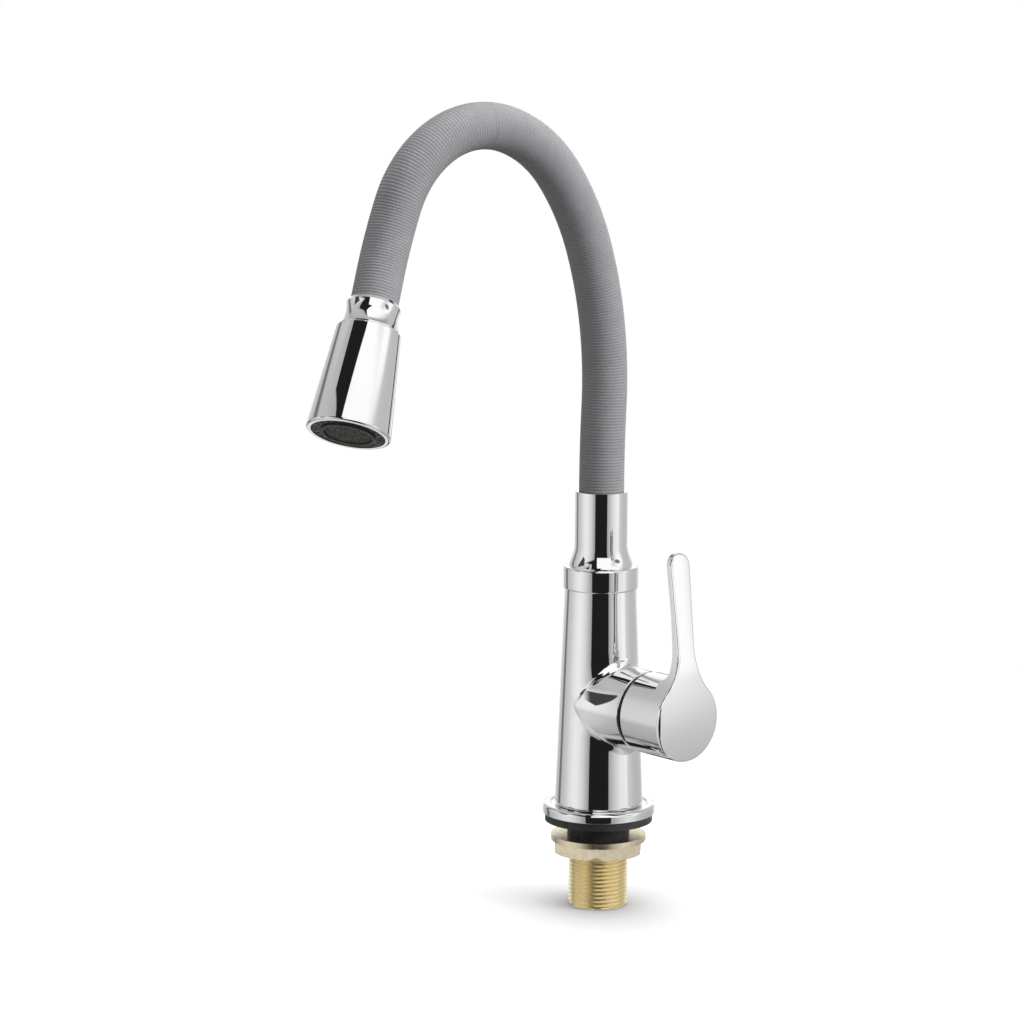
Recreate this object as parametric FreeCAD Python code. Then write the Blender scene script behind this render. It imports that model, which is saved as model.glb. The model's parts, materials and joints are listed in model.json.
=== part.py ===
import FreeCAD, Part
import math
import os

os.makedirs("parts", exist_ok=True)

# A single lever sink tap with a hand bent flexible spout and a two way spray head.
# Millimetres. The origin is on the column's axis in the deck plane, under the base washer.
# +Z is up, the spout reaches towards -Y and the lever sits on +X.

# Under the deck: G 3/4 threaded shank, back nut and centring sleeve
THREAD_DIA = 26.44
THREAD_CLEARANCE = 0.03
SHANK_DROP = 38.9
SHANK_BORE_DIA = 17.0
SHANK_END_CHAMFER = 1.0
SPIGOT_DIA = 22.0
SPIGOT_LENGTH = 13.0
SHANK_SEAL_THICKNESS = 1.6
NUT_DROP = 6.4
NUT_FLANGE_DIA = 42.4
NUT_FLANGE_THICKNESS = 2.5
NUT_FLATS = 37.8
NUT_HEX_HEIGHT = 5.7
NUT_CORNER_CHAMFER = 2.2
NUT_CORNER_AT = -44.0
NUT_RECESS_DEPTH = 1.5
CENTRING_WALL = 0.65
CENTRING_ENTRY = 0.6

# On the deck: rubber washer and chrome flange
WASHER_DIA = 48.0
WASHER_THICKNESS = 3.5
FLANGE_DIA = 50.0
FLANGE_THICKNESS = 4.5
FLANGE_TOP_ROUND = 1.6
FLANGE_FOOT_ROUND = 0.4
FLANGE_RECESS_DEPTH = 0.7
FLANGE_RECESS_WIDTH = 1.6

# The column, a tapered casting with a side boss for the valve
COLUMN_FOOT_DIA = 39.3
COLUMN_TOP_DIA = 31.6
COLUMN_TOP_HEIGHT = 105.0
COLUMN_FOOT_ROUND = 1.2
FOOT_SPIGOT_DIA = 32.0
BOSS_HEIGHT = 54.3
BOSS_DIA = 35.2
BOSS_REACH = 31.2
BOSS_EDGE_ROUND = 0.5
BOSS_BLEND = 4.0
INLET_BORE_DIA = 9.0
INLET_BORE_OFFSET = 6.3
OUTLET_BORE_DIA = 9.0
OUTLET_BORE_OFFSET = 7.0
OUTLET_BORE_START = 66.0

# The valve cartridge in the boss, measured along the boss axis from the column's axis
SEAT_FACE = 0.0
SEAT_BORE_DIA = 9.0
SEAT_SEAL_THICKNESS = 1.5
SEAT_SEAL_WALL = 2.6
DISC_THICKNESS = 2.5
DISC_GAP = 0.04
DISC_DIA = 16.0
DISC_WINDOW_INNER_DIA = 5.0
DISC_WINDOW_OUTER_DIA = 12.6
DISC_WINDOW_ANGLE = 80.0
CARTRIDGE_DIA = 20.8
CARTRIDGE_BORE_DIA = 16.3
CARTRIDGE_CLEARANCE = 0.05
CARTRIDGE_SHOULDER = 24.0
CARTRIDGE_HEX_FLATS = 24.0
CARTRIDGE_HEX_LENGTH = 4.5
CARTRIDGE_NECK_DIA = 13.0
CARTRIDGE_NECK_END = 36.5
CARTRIDGE_PORT_LENGTH = 4.0
CARTRIDGE_PORT_WIDTH = 9.0
GALLERY_DIA = 27.0
HEX_POCKET_DIA = 28.4
SPINDLE_DIA = 8.0
SPINDLE_CLEARANCE = 0.05
SPINDLE_END = 46.0
SPINDLE_RING_WIDTH = 1.6
SPINDLE_RING_DEPTH = 1.0
SPACER_THICKNESS = 1.9
SPACER_DIA = 32.6
SPACER_BORE_DIA = 20.0

# The lever: a round cap with a tear shaped face drawn up into a slim arm
LEVER_DIA = 35.8
LEVER_START = 33.4
LEVER_FACE = 57.4
LEVER_CAVITY_DIA = 31.0
LEVER_FACE_WALL = 7.0
LEVER_TIP_HEIGHT = 127.2
LEVER_ARM_WIDTH = 9.7
LEVER_TIP_WIDTH = 11.2
LEVER_NECK_RADIUS = 27.0
LEVER_ARM_DEPTH = 2.9
LEVER_ROOT_DEPTH = 4.6
LEVER_SLIM_HEIGHT = 100.0
LEVER_LEAN_START = 73.0
LEVER_LEAN = 7.1
LEVER_BEND_RADIUS = 60.0
LEVER_BACK_RADIUS = 4.0
LEVER_EDGE_ROUND = 0.9
LEVER_SKIRT_ROUND = 0.4
LEVER_HUB_DIA = 13.0
LEVER_HUB_START = 37.0
LEVER_HUB_CLEARANCE = 0.03
LEVER_SCREW_DIA = 5.0
LEVER_SCREW_LENGTH = 5.5
LEVER_SCREW_PLACE = 42.0
LEVER_LUG_DIA = 9.0
LEVER_PLUG_DIA = 6.4
LEVER_PLUG_DEPTH = 1.8

# The swivel: collar on the column, stem under the socket
COLLAR_DIA = 33.2
COLLAR_HEIGHT = 10.1
COLLAR_EDGE_ROUND = 0.8
COLLAR_LIP = 4.3
COLLAR_THREAD_DIA = 27.0
COLLAR_THREAD_LENGTH = 4.8
SWIVEL_CLEARANCE = 0.06
STEM_DIA = 17.8
STEM_LENGTH_BELOW = 18.0
STEM_FLANGE_DIA = 24.0
STEM_FLANGE_THICKNESS = 2.6
STEM_NECK_DIA = 19.6
STEM_BORE_DIA = 10.0
SLIP_RING_THICKNESS = 1.2
SLIP_RING_GAP = 0.04
SWIVEL_RING_WIDTH = 2.0
SWIVEL_RING_DEPTH = 1.4
SWIVEL_RING_LOW = 5.0
SWIVEL_RING_SPACING = 6.0

# The chrome socket at the foot of the hose
SOCKET_GAP = 0.3
SOCKET_DIA = 23.3
SOCKET_FOOT_DIA = 28.0
SOCKET_FLARE_HEIGHT = 8.0
SOCKET_FOOT_BAND = 0.8
SOCKET_RIM_HEIGHT = 148.4
SOCKET_THREAD_LENGTH = 6.0
SOCKET_CLEARANCE = 0.05

# The hose: ribbed sleeve, gooseneck core and water tube
HOSE_DIA = 20.0
HOSE_WALL = 1.2
RIB_COUNT = 64
RIB_DEPTH = 0.45
RIB_CREST_SHARE = 0.46
RIB_FLANK_SHARE = 0.16
HOSE_RISE = 1.6
HOSE_BEND_LENGTH = 36.0
HOSE_BEND_TURNS = (-3.0, 10.8, 11.5, 19.0, 35.0, 44.1, 41.0)
HOSE_END_RADIUS = 130.0
HOSE_END_STRAIGHT = 20.7
HOSE_IN_NECK = 8.0
CORE_DIA = 12.0
CORE_BORE_DIA = 8.4
CORE_BALL_GAP = 0.3
CORE_IN_FERRULE = 9.0
TUBE_DIA = 7.6
TUBE_BORE_DIA = 5.2
FERRULE_LENGTH = 13.0
FERRULE_CLEARANCE = 0.1
FERRULE_FLANGE = 2.0
BEND_PLACES = (60.0, 148.0, 240.0)

# The direction of the spray head: forward, towards the lever side, and down
HEAD_FORWARD = 0.415
HEAD_ASIDE = 0.231
HEAD_DOWN = 0.880

# The spray head, measured along its own axis from the rim where the hose goes in
NECK_RIM_WALL = 0.35
NECK_DIA = 22.6
NECK_CHAMFER_LENGTH = 1.5
NECK_WAIST_DIA = 21.7
NECK_WAIST_PLACE = 5.8
NECK_FLARE_END = 11.7
NECK_BARREL_DIA = 25.0
NECK_LENGTH = 27.0
NECK_BORE_DIA = 12.0
NECK_RING_PLACE = 18.6
NECK_RING_WIDTH = 2.2
NECK_RING_DEPTH = 1.5
BELL_CLEARANCE = 0.06
BELL_TOP = 12.4
BELL_TOP_DIA = 26.9
BELL_BOTTOM = 57.6
BELL_BOTTOM_DIA = 35.3
BELL_TOP_ROUND = 0.6
BELL_RIM_ROUND = 0.9
BELL_TRAVEL = 4.0
BELL_STOP_GAP = 0.1
STOP_COLLAR_DIA = 26.4
STOP_COLLAR_THICKNESS = 3.0
BELL_CAVITY_DIA = 26.7
BELL_CAVITY_END = 34.2
BELL_GUIDE_DIA = 28.6
BELL_MOUTH_DIA = 31.0
FACE_RECESS = 0.3
FACE_THICKNESS = 4.5
FACE_GAP = 0.1
GUIDE_HEIGHT = 17.0
GUIDE_WALL = 0.9
GUIDE_FLOOR = 3.5
GUIDE_PLACE = 5.5
GUIDE_HOLE_DIA = 11.0
GUIDE_PORTS = 16
GUIDE_PORT_DIA = 0.9
GUIDE_PORT_CIRCLE_DIA = 25.6
NOZZLE_COUNT = 24
NOZZLE_DIA = 1.1
NOZZLE_CIRCLE_DIA = 26.8
AERATOR_DIA = 22.6
AERATOR_WALL = 1.1
AERATOR_PROUD = 0.8
MESH_THICKNESS = 0.5
MESH_HOLE = 1.3
MESH_PITCH = 2.2
AERATOR_SEAL_THICKNESS = 1.0
DIVERTER_DIA = 9.0
DIVERTER_BORE_DIA = 6.0
DIVERTER_THREAD_LENGTH = 6.0
DIVERTER_PORT_DIA = 4.0
DIVERTER_FLANGE_DIA = 18.0
DIVERTER_FLANGE_THICKNESS = 2.0
DIVERTER_SEAL_THICKNESS = 1.4
DIVERTER_SEAL_GAP = 0.3

# Values that follow from the sizes above
FLANGE_TOP = WASHER_THICKNESS + FLANGE_THICKNESS
COLLAR_TOP = COLUMN_TOP_HEIGHT + COLLAR_HEIGHT
SOCKET_FOOT = COLLAR_TOP + SOCKET_GAP
HOSE_SEAT = SOCKET_FOOT + SOCKET_THREAD_LENGTH
HOSE_FOOT = HOSE_SEAT + FERRULE_FLANGE
HOSE_BORE_DIA = HOSE_DIA - 2 * RIB_DEPTH - 2 * HOSE_WALL
FERRULE_DIA = HOSE_BORE_DIA - 2 * FERRULE_CLEARANCE
DISC_START = SEAT_FACE + SEAT_SEAL_THICKNESS
MOVING_DISC_START = DISC_START + DISC_THICKNESS + DISC_GAP
CARRIER_START = MOVING_DISC_START + DISC_THICKNESS
PORT_START = CARRIER_START + DISC_THICKNESS
PORT_END = PORT_START + CARTRIDGE_PORT_LENGTH
FACE_BOTTOM = BELL_BOTTOM - FACE_RECESS
FACE_TOP = FACE_BOTTOM - FACE_THICKNESS
GUIDE_TOP = FACE_TOP - GUIDE_HEIGHT
GUIDE_FLOOR_TOP = GUIDE_TOP + GUIDE_PLACE
AERATOR_BOTTOM = FACE_BOTTOM + AERATOR_PROUD
AERATOR_SEAT = GUIDE_FLOOR_TOP + GUIDE_FLOOR
AERATOR_TOP = AERATOR_SEAT + AERATOR_SEAL_THICKNESS


def point(x, y, z):
    return FreeCAD.Vector(x, y, z)


def turned(outline):
    """A solid of revolution about Z from an outline of (radius, height) corners."""
    corners = [point(radius, 0, height) for radius, height in outline]
    wire = Part.makePolygon(corners + corners[:1])
    return Part.Face(wire).revolve(point(0, 0, 0), point(0, 0, 1), 360)


def tube(outer_dia, inner_dia, low, high):
    """A round tube about Z between two heights."""
    outer = outer_dia / 2
    inner = inner_dia / 2
    return turned([(inner, low), (outer, low), (outer, high), (inner, high)])


def rod(dia, low, high):
    """A round rod about Z between two heights."""
    return Part.makeCylinder(dia / 2, high - low, point(0, 0, low))


def hexagon(flats, low, high, corner_at=-90.0):
    """A hexagonal prism about Z with one corner at this angle from +X."""
    radius = flats / 2 / math.cos(math.radians(30))
    corners = []
    for index in range(6):
        angle = math.radians(60 * index + corner_at)
        corners.append(point(radius * math.cos(angle), radius * math.sin(angle), low))
    face = Part.Face(Part.makePolygon(corners + corners[:1]))
    return face.extrude(point(0, 0, high - low))


def edges_at(shape, dia, height):
    """The round edges of a turned shape that have this diameter at this height."""
    found = []
    for edge in shape.Edges:
        box = edge.BoundBox
        flat = abs(box.ZMin - height) < 0.001 and abs(box.ZMax - height) < 0.001
        if flat and abs(box.XLength - dia) < 0.001 and abs(box.YLength - dia) < 0.001:
            found.append(edge)
    return found


def on_boss(shape):
    """Lays a shape made about +Z along the boss axis, which runs towards +X."""
    laid = shape.copy()
    laid.rotate(point(0, 0, 0), point(0, 1, 0), 90)
    laid.translate(point(0, 0, BOSS_HEIGHT))
    return laid


# The hose's centre line: a short rise, seven bends in the plane of the spout, an end bend
# that turns towards the head's direction, and a straight end.

HEAD_AXIS = point(HEAD_ASIDE, -HEAD_FORWARD, -HEAD_DOWN).normalize()


def hose_sections():
    """Sections of (start, direction, length, radius, inward normal); radius 0 is straight."""
    sections = []
    place = point(0, 0, HOSE_FOOT)
    heading = point(0, 0, 1)
    rise = SOCKET_RIM_HEIGHT - HOSE_FOOT + HOSE_RISE
    sections.append((place, heading, rise, 0, point(0, -1, 0)))
    place = place + heading * rise
    for turn in HOSE_BEND_TURNS:
        radius = HOSE_BEND_LENGTH / math.radians(turn)
        inward = point(1, 0, 0).cross(heading)
        sections.append((place, heading, HOSE_BEND_LENGTH, radius, inward))
        place, heading = along(sections[-1], HOSE_BEND_LENGTH)
    turn = heading.getAngle(HEAD_AXIS)
    inward = (HEAD_AXIS - heading * heading.dot(HEAD_AXIS)).normalize()
    length = HOSE_END_RADIUS * turn
    sections.append((place, heading, length, HOSE_END_RADIUS, inward))
    place, heading = along(sections[-1], length)
    sections.append((place, heading, HOSE_END_STRAIGHT, 0, inward))
    return sections


def along(section, distance):
    """The point and direction at a distance along one section."""
    start, direction, length, radius, inward = section
    if radius == 0:
        return start + direction * distance, direction
    angle = distance / radius
    place = start + direction * (radius * math.sin(angle))
    place = place + inward * (radius * (1 - math.cos(angle)))
    return place, direction * math.cos(angle) + inward * math.sin(angle)


SECTIONS = hose_sections()
HOSE_LENGTH = sum(section[2] for section in SECTIONS)
RIM_DISTANCE = SOCKET_RIM_HEIGHT - HOSE_FOOT


def hose_at(distance):
    """The point and direction of the centre line at a distance from the hose's foot."""
    for section in SECTIONS:
        if distance <= section[2] or section is SECTIONS[-1]:
            return along(section, distance)
        distance = distance - section[2]


def centre_wire(start, end):
    """The centre line between two distances as lines and arcs."""
    edges = []
    passed = 0
    for section in SECTIONS:
        first = max(start - passed, 0)
        last = min(end - passed, section[2])
        if section is SECTIONS[0]:
            first = start - passed
        if section is SECTIONS[-1]:
            last = end - passed
        passed = passed + section[2]
        if last - first < 0.001:
            continue
        begin = along(section, first)[0]
        finish = along(section, last)[0]
        if section[3] == 0:
            edges.append(Part.LineSegment(begin, finish).toShape())
        else:
            middle = along(section, (first + last) / 2)[0]
            edges.append(Part.Arc(begin, middle, finish).toShape())
    return Part.Wire(edges)


def ring_at(distance, dia):
    """A circle square to the hose, with its start kept on the X side."""
    place, heading = hose_at(distance)
    aside = point(1, 0, 0)
    aside = (aside - heading * aside.dot(heading)).normalize()
    frame = FreeCAD.Placement(place, FreeCAD.Rotation(aside, heading.cross(aside), heading, "ZXY"))
    circle = Part.Circle(point(0, 0, 0), point(0, 0, 1), dia / 2).toShape()
    circle.Placement = frame
    return Part.Wire([circle])


def pipe(start, end, dia):
    """A round bar along the hose's centre line."""
    return centre_wire(start, end).makePipeShell([ring_at(start, dia)], True, False)


def head_place(shape):
    """Moves a shape made about +Z, with 0 at the neck's rim, onto the end of the hose."""
    rim = SECTIONS[-1][0] + HEAD_AXIS * (HOSE_END_STRAIGHT - HOSE_IN_NECK)
    moved = shape.copy()
    onto_head = FreeCAD.Placement(rim, FreeCAD.Rotation(point(0, 0, 1), HEAD_AXIS))
    moved.Placement = onto_head.multiply(moved.Placement)
    return moved


# Pieces fixed to the deck


def make_threaded_shank():
    radius = THREAD_DIA / 2
    bore = SHANK_BORE_DIA / 2
    top = WASHER_THICKNESS + SPIGOT_LENGTH
    return turned([
        (bore, -SHANK_DROP),
        (radius - SHANK_END_CHAMFER, -SHANK_DROP),
        (radius, -SHANK_DROP + SHANK_END_CHAMFER),
        (radius, WASHER_THICKNESS),
        (SPIGOT_DIA / 2, WASHER_THICKNESS),
        (SPIGOT_DIA / 2, top),
        (bore, top),
    ])


def make_shank_seal():
    low = WASHER_THICKNESS + SPIGOT_LENGTH
    return tube(SPIGOT_DIA, SHANK_BORE_DIA, low, low + SHANK_SEAL_THICKNESS)


def make_back_nut():
    top = -NUT_DROP
    flange_foot = top - NUT_FLANGE_THICKNESS
    foot = flange_foot - NUT_HEX_HEIGHT
    bore = THREAD_DIA / 2 + THREAD_CLEARANCE
    recess = THREAD_DIA / 2 + 2 * THREAD_CLEARANCE + CENTRING_WALL
    flange = turned([
        (recess, top),
        (NUT_FLANGE_DIA / 2, top),
        (NUT_FLANGE_DIA / 2, flange_foot),
        (bore, flange_foot),
        (bore, top - NUT_RECESS_DEPTH),
        (recess, top - NUT_RECESS_DEPTH),
    ])
    corner = NUT_FLATS / 2 / math.cos(math.radians(30))
    rounding = turned([
        (0, foot),
        (corner - NUT_CORNER_CHAMFER, foot),
        (corner + 1, foot + NUT_CORNER_CHAMFER + 1),
        (corner + 1, flange_foot),
        (0, flange_foot),
    ])
    body = hexagon(NUT_FLATS, foot, flange_foot, NUT_CORNER_AT).common(rounding)
    body = body.cut(rod(2 * bore, foot - 1, flange_foot + 1))
    return flange.fuse(body).removeSplitter()


def make_centring_sleeve():
    inner = THREAD_DIA + 2 * THREAD_CLEARANCE
    return tube(inner + 2 * CENTRING_WALL, inner, -NUT_DROP - CENTRING_ENTRY, WASHER_THICKNESS)


def make_base_washer():
    bore = THREAD_DIA + 4 * THREAD_CLEARANCE + 2 * CENTRING_WALL
    return tube(WASHER_DIA, bore, 0, WASHER_THICKNESS)


def make_base_flange():
    recess = COLUMN_FOOT_DIA / 2 + FLANGE_RECESS_WIDTH
    outer = FLANGE_DIA / 2
    flange = turned([
        (FOOT_SPIGOT_DIA / 2, WASHER_THICKNESS),
        (outer, WASHER_THICKNESS),
        (outer, FLANGE_TOP),
        (recess + FLANGE_RECESS_DEPTH, FLANGE_TOP),
        (recess, FLANGE_TOP - FLANGE_RECESS_DEPTH),
        (FOOT_SPIGOT_DIA / 2, FLANGE_TOP - FLANGE_RECESS_DEPTH),
    ])
    flange = flange.makeFillet(FLANGE_TOP_ROUND, edges_at(flange, FLANGE_DIA, FLANGE_TOP))
    return flange.makeFillet(FLANGE_FOOT_ROUND, edges_at(flange, FLANGE_DIA, WASHER_THICKNESS))


def make_body_casting():
    foot = FLANGE_TOP - FLANGE_RECESS_DEPTH
    thread_top = COLUMN_TOP_HEIGHT + COLLAR_THREAD_LENGTH
    column = turned([
        (0, foot),
        (COLUMN_FOOT_DIA / 2, foot),
        (COLUMN_TOP_DIA / 2, COLUMN_TOP_HEIGHT),
        (0, COLUMN_TOP_HEIGHT),
    ])
    column = column.makeFillet(COLUMN_FOOT_ROUND, edges_at(column, COLUMN_FOOT_DIA, foot))
    boss = rod(BOSS_DIA, 0, BOSS_REACH)
    boss = on_boss(boss.makeFillet(BOSS_EDGE_ROUND, edges_at(boss, BOSS_DIA, BOSS_REACH)))
    shell = column.fuse(boss)
    seam = [edge for edge in shell.Edges if not isinstance(edge.Curve, (Part.Line, Part.Circle))]
    shell = shell.makeFillet(BOSS_BLEND, seam)
    shell = shell.fuse(rod(FOOT_SPIGOT_DIA, WASHER_THICKNESS, foot))
    shell = shell.fuse(rod(COLLAR_THREAD_DIA, COLUMN_TOP_HEIGHT, thread_top))
    # the way in from the shank, and the bore up to the valve seat
    chamber_top = WASHER_THICKNESS + SPIGOT_LENGTH + SHANK_SEAL_THICKNESS
    shell = shell.cut(rod(SPIGOT_DIA, 0, chamber_top))
    inlet = rod(INLET_BORE_DIA, chamber_top - 1, BOSS_HEIGHT)
    inlet.translate(point(-INLET_BORE_OFFSET, 0, 0))
    shell = shell.cut(inlet)
    shell = shell.cut(on_boss(rod(SEAT_BORE_DIA, -INLET_BORE_OFFSET, SEAT_FACE + 1)))
    # the pocket for the valve, with the gallery that collects the water round it
    pocket = CARTRIDGE_DIA + 2 * CARTRIDGE_CLEARANCE
    shell = shell.cut(on_boss(rod(pocket, SEAT_FACE, BOSS_REACH + 1)))
    shell = shell.cut(on_boss(rod(GALLERY_DIA, PORT_START - 1, PORT_END + 1)))
    shell = shell.cut(on_boss(rod(HEX_POCKET_DIA, CARTRIDGE_SHOULDER, BOSS_REACH + 1)))
    # the way up to the swivel, and the seats of the stem and its slip rings
    stem_foot = swivel_heights()[0]
    outlet = rod(OUTLET_BORE_DIA, OUTLET_BORE_START, stem_foot)
    outlet.translate(point(OUTLET_BORE_OFFSET, 0, 0))
    shell = shell.cut(outlet)
    stem_bore = STEM_DIA + 2 * SWIVEL_CLEARANCE
    shell = shell.cut(rod(stem_bore, stem_foot - 2, thread_top + 1))
    flange_bore = STEM_FLANGE_DIA + 2 * SWIVEL_CLEARANCE
    return shell.cut(rod(flange_bore, swivel_heights()[1], thread_top + 1))


def swivel_heights():
    """Heights of the stem's foot, the lower slip ring, the stem's flange and the upper ring."""
    ring_top = COLLAR_TOP - COLLAR_LIP
    upper_ring = ring_top - SLIP_RING_THICKNESS
    flange = upper_ring - SLIP_RING_GAP - STEM_FLANGE_THICKNESS
    lower_ring = flange - SLIP_RING_GAP - SLIP_RING_THICKNESS
    return flange - STEM_LENGTH_BELOW, lower_ring, flange, upper_ring


def make_top_collar():
    lip_foot = COLLAR_TOP - COLLAR_LIP
    thread = COLLAR_THREAD_DIA / 2 + THREAD_CLEARANCE
    lip = STEM_NECK_DIA / 2 + SWIVEL_CLEARANCE
    collar = turned([
        (thread, COLUMN_TOP_HEIGHT),
        (COLLAR_DIA / 2, COLUMN_TOP_HEIGHT),
        (COLLAR_DIA / 2, COLLAR_TOP),
        (lip, COLLAR_TOP),
        (lip, lip_foot),
        (thread, lip_foot),
    ])
    rim = edges_at(collar, COLLAR_DIA, COLLAR_TOP) + edges_at(collar, COLLAR_DIA, COLUMN_TOP_HEIGHT)
    return collar.makeFillet(COLLAR_EDGE_ROUND, rim)


def make_slip_ring_lower():
    low = swivel_heights()[1]
    return tube(STEM_FLANGE_DIA, STEM_DIA + 2 * SWIVEL_CLEARANCE, low, low + SLIP_RING_THICKNESS)


def make_slip_ring_upper():
    low = swivel_heights()[3]
    inner = STEM_NECK_DIA + 2 * SWIVEL_CLEARANCE
    return tube(STEM_FLANGE_DIA, inner, low, low + SLIP_RING_THICKNESS)


# The valve and the lever, made about Z and laid along the boss axis


def windows(low, high, turn):
    """Two opposite part ring windows of a valve disc."""
    outline = [
        point(DISC_WINDOW_INNER_DIA / 2, 0, low),
        point(DISC_WINDOW_OUTER_DIA / 2, 0, low),
        point(DISC_WINDOW_OUTER_DIA / 2, 0, high),
        point(DISC_WINDOW_INNER_DIA / 2, 0, high),
    ]
    face = Part.Face(Part.makePolygon(outline + outline[:1]))
    window = face.revolve(point(0, 0, 0), point(0, 0, 1), DISC_WINDOW_ANGLE)
    window.rotate(point(0, 0, 0), point(0, 0, 1), turn - DISC_WINDOW_ANGLE / 2)
    opposite = window.copy()
    opposite.rotate(point(0, 0, 0), point(0, 0, 1), 180)
    return [window, opposite]


def make_seat_seal():
    return on_boss(tube(SEAT_BORE_DIA + 2 * SEAT_SEAL_WALL, SEAT_BORE_DIA, SEAT_FACE, DISC_START))


def make_ceramic_disc_fixed():
    high = DISC_START + DISC_THICKNESS
    disc = rod(DISC_DIA, DISC_START, high)
    for window in windows(DISC_START - 1, high + 1, 0):
        disc = disc.cut(window)
    return on_boss(disc)


def make_ceramic_disc_moving():
    high = MOVING_DISC_START + DISC_THICKNESS
    disc = rod(DISC_DIA, MOVING_DISC_START, high)
    for window in windows(MOVING_DISC_START - 1, high + 1, 90):
        disc = disc.cut(window)
    return on_boss(disc)


def make_cartridge_body():
    outer = CARTRIDGE_DIA / 2
    inner = CARTRIDGE_BORE_DIA / 2
    neck = CARTRIDGE_NECK_DIA / 2
    bore = SPINDLE_DIA / 2 + SPINDLE_CLEARANCE
    body = turned([
        (inner, DISC_START),
        (outer, DISC_START),
        (outer, CARTRIDGE_SHOULDER + CARTRIDGE_HEX_LENGTH / 2),
        (neck, CARTRIDGE_SHOULDER + CARTRIDGE_HEX_LENGTH / 2),
        (neck, CARTRIDGE_NECK_END),
        (bore, CARTRIDGE_NECK_END),
        (bore, PORT_END),
        (inner, PORT_END),
    ])
    hexed = hexagon(CARTRIDGE_HEX_FLATS, CARTRIDGE_SHOULDER, CARTRIDGE_SHOULDER + CARTRIDGE_HEX_LENGTH)
    hexed = hexed.cut(rod(2 * neck, CARTRIDGE_SHOULDER - 1, CARTRIDGE_NECK_END))
    body = body.fuse(hexed)
    port = Part.makeBox(CARTRIDGE_DIA + 2, CARTRIDGE_PORT_WIDTH, CARTRIDGE_PORT_LENGTH)
    port.translate(point(-CARTRIDGE_DIA / 2 - 1, -CARTRIDGE_PORT_WIDTH / 2, PORT_START))
    return on_boss(body.cut(port))


def spindle_ring_place():
    """Where the spindle's seal ring starts, half way along the neck."""
    return (CARTRIDGE_SHOULDER + CARTRIDGE_NECK_END) / 2


def make_spindle():
    low = spindle_ring_place()
    spindle = rod(SPINDLE_DIA, CARRIER_START, SPINDLE_END)
    carrier = rod(DISC_DIA, CARRIER_START, PORT_START)
    for window in windows(CARRIER_START - 1, PORT_START + 1, 90):
        carrier = carrier.cut(window)
    groove = tube(SPINDLE_DIA + 2, SPINDLE_DIA - 2 * SPINDLE_RING_DEPTH, low, low + SPINDLE_RING_WIDTH)
    return on_boss(spindle.cut(groove).fuse(carrier))


def make_spindle_ring():
    low = spindle_ring_place()
    return on_boss(tube(SPINDLE_DIA, SPINDLE_DIA - 2 * SPINDLE_RING_DEPTH, low, low + SPINDLE_RING_WIDTH))


def make_boss_spacer():
    return on_boss(tube(SPACER_DIA, SPACER_BORE_DIA, BOSS_REACH, BOSS_REACH + SPACER_THICKNESS))


def lever_outline():
    """The tear shaped face seen along the boss axis, as a face in the plane X = 0."""
    radius = LEVER_DIA / 2
    half_arm = LEVER_ARM_WIDTH / 2
    half_tip = LEVER_TIP_WIDTH / 2
    tip = LEVER_TIP_HEIGHT - half_tip
    across = half_arm + LEVER_NECK_RADIUS
    up = math.sqrt((radius + LEVER_NECK_RADIUS) ** 2 - across ** 2)
    neck_height = BOSS_HEIGHT + up
    share = radius / (radius + LEVER_NECK_RADIUS)
    left = point(0, -across * share, BOSS_HEIGHT + up * share)
    right = point(0, across * share, BOSS_HEIGHT + up * share)
    turn = math.atan2(up, across) / 2
    reach = LEVER_NECK_RADIUS
    inner = across - reach * math.cos(turn)
    bend = neck_height - reach * math.sin(turn)
    edges = [
        Part.Arc(left, point(0, 0, BOSS_HEIGHT - radius), right).toShape(),
        Part.Arc(right, point(0, inner, bend), point(0, half_arm, neck_height)).toShape(),
        Part.LineSegment(point(0, half_arm, neck_height), point(0, half_tip, tip)).toShape(),
        Part.Arc(point(0, half_tip, tip), point(0, 0, LEVER_TIP_HEIGHT), point(0, -half_tip, tip)).toShape(),
        Part.LineSegment(point(0, -half_tip, tip), point(0, -half_arm, neck_height)).toShape(),
        Part.Arc(point(0, -half_arm, neck_height), point(0, -inner, bend), left).toShape(),
    ]
    return Part.Face(Part.Wire(edges))


def lever_front(height):
    """Where the lever's face is at a height: upright, then bending, then leaning back."""
    lean = math.radians(LEVER_LEAN)
    bend_end = LEVER_LEAN_START + LEVER_BEND_RADIUS * math.sin(lean)
    if height <= LEVER_LEAN_START:
        return LEVER_FACE
    if height <= bend_end:
        rise = height - LEVER_LEAN_START
        return LEVER_FACE - LEVER_BEND_RADIUS + math.sqrt(LEVER_BEND_RADIUS ** 2 - rise ** 2)
    return lever_front(bend_end) - (height - bend_end) * math.tan(lean)


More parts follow.
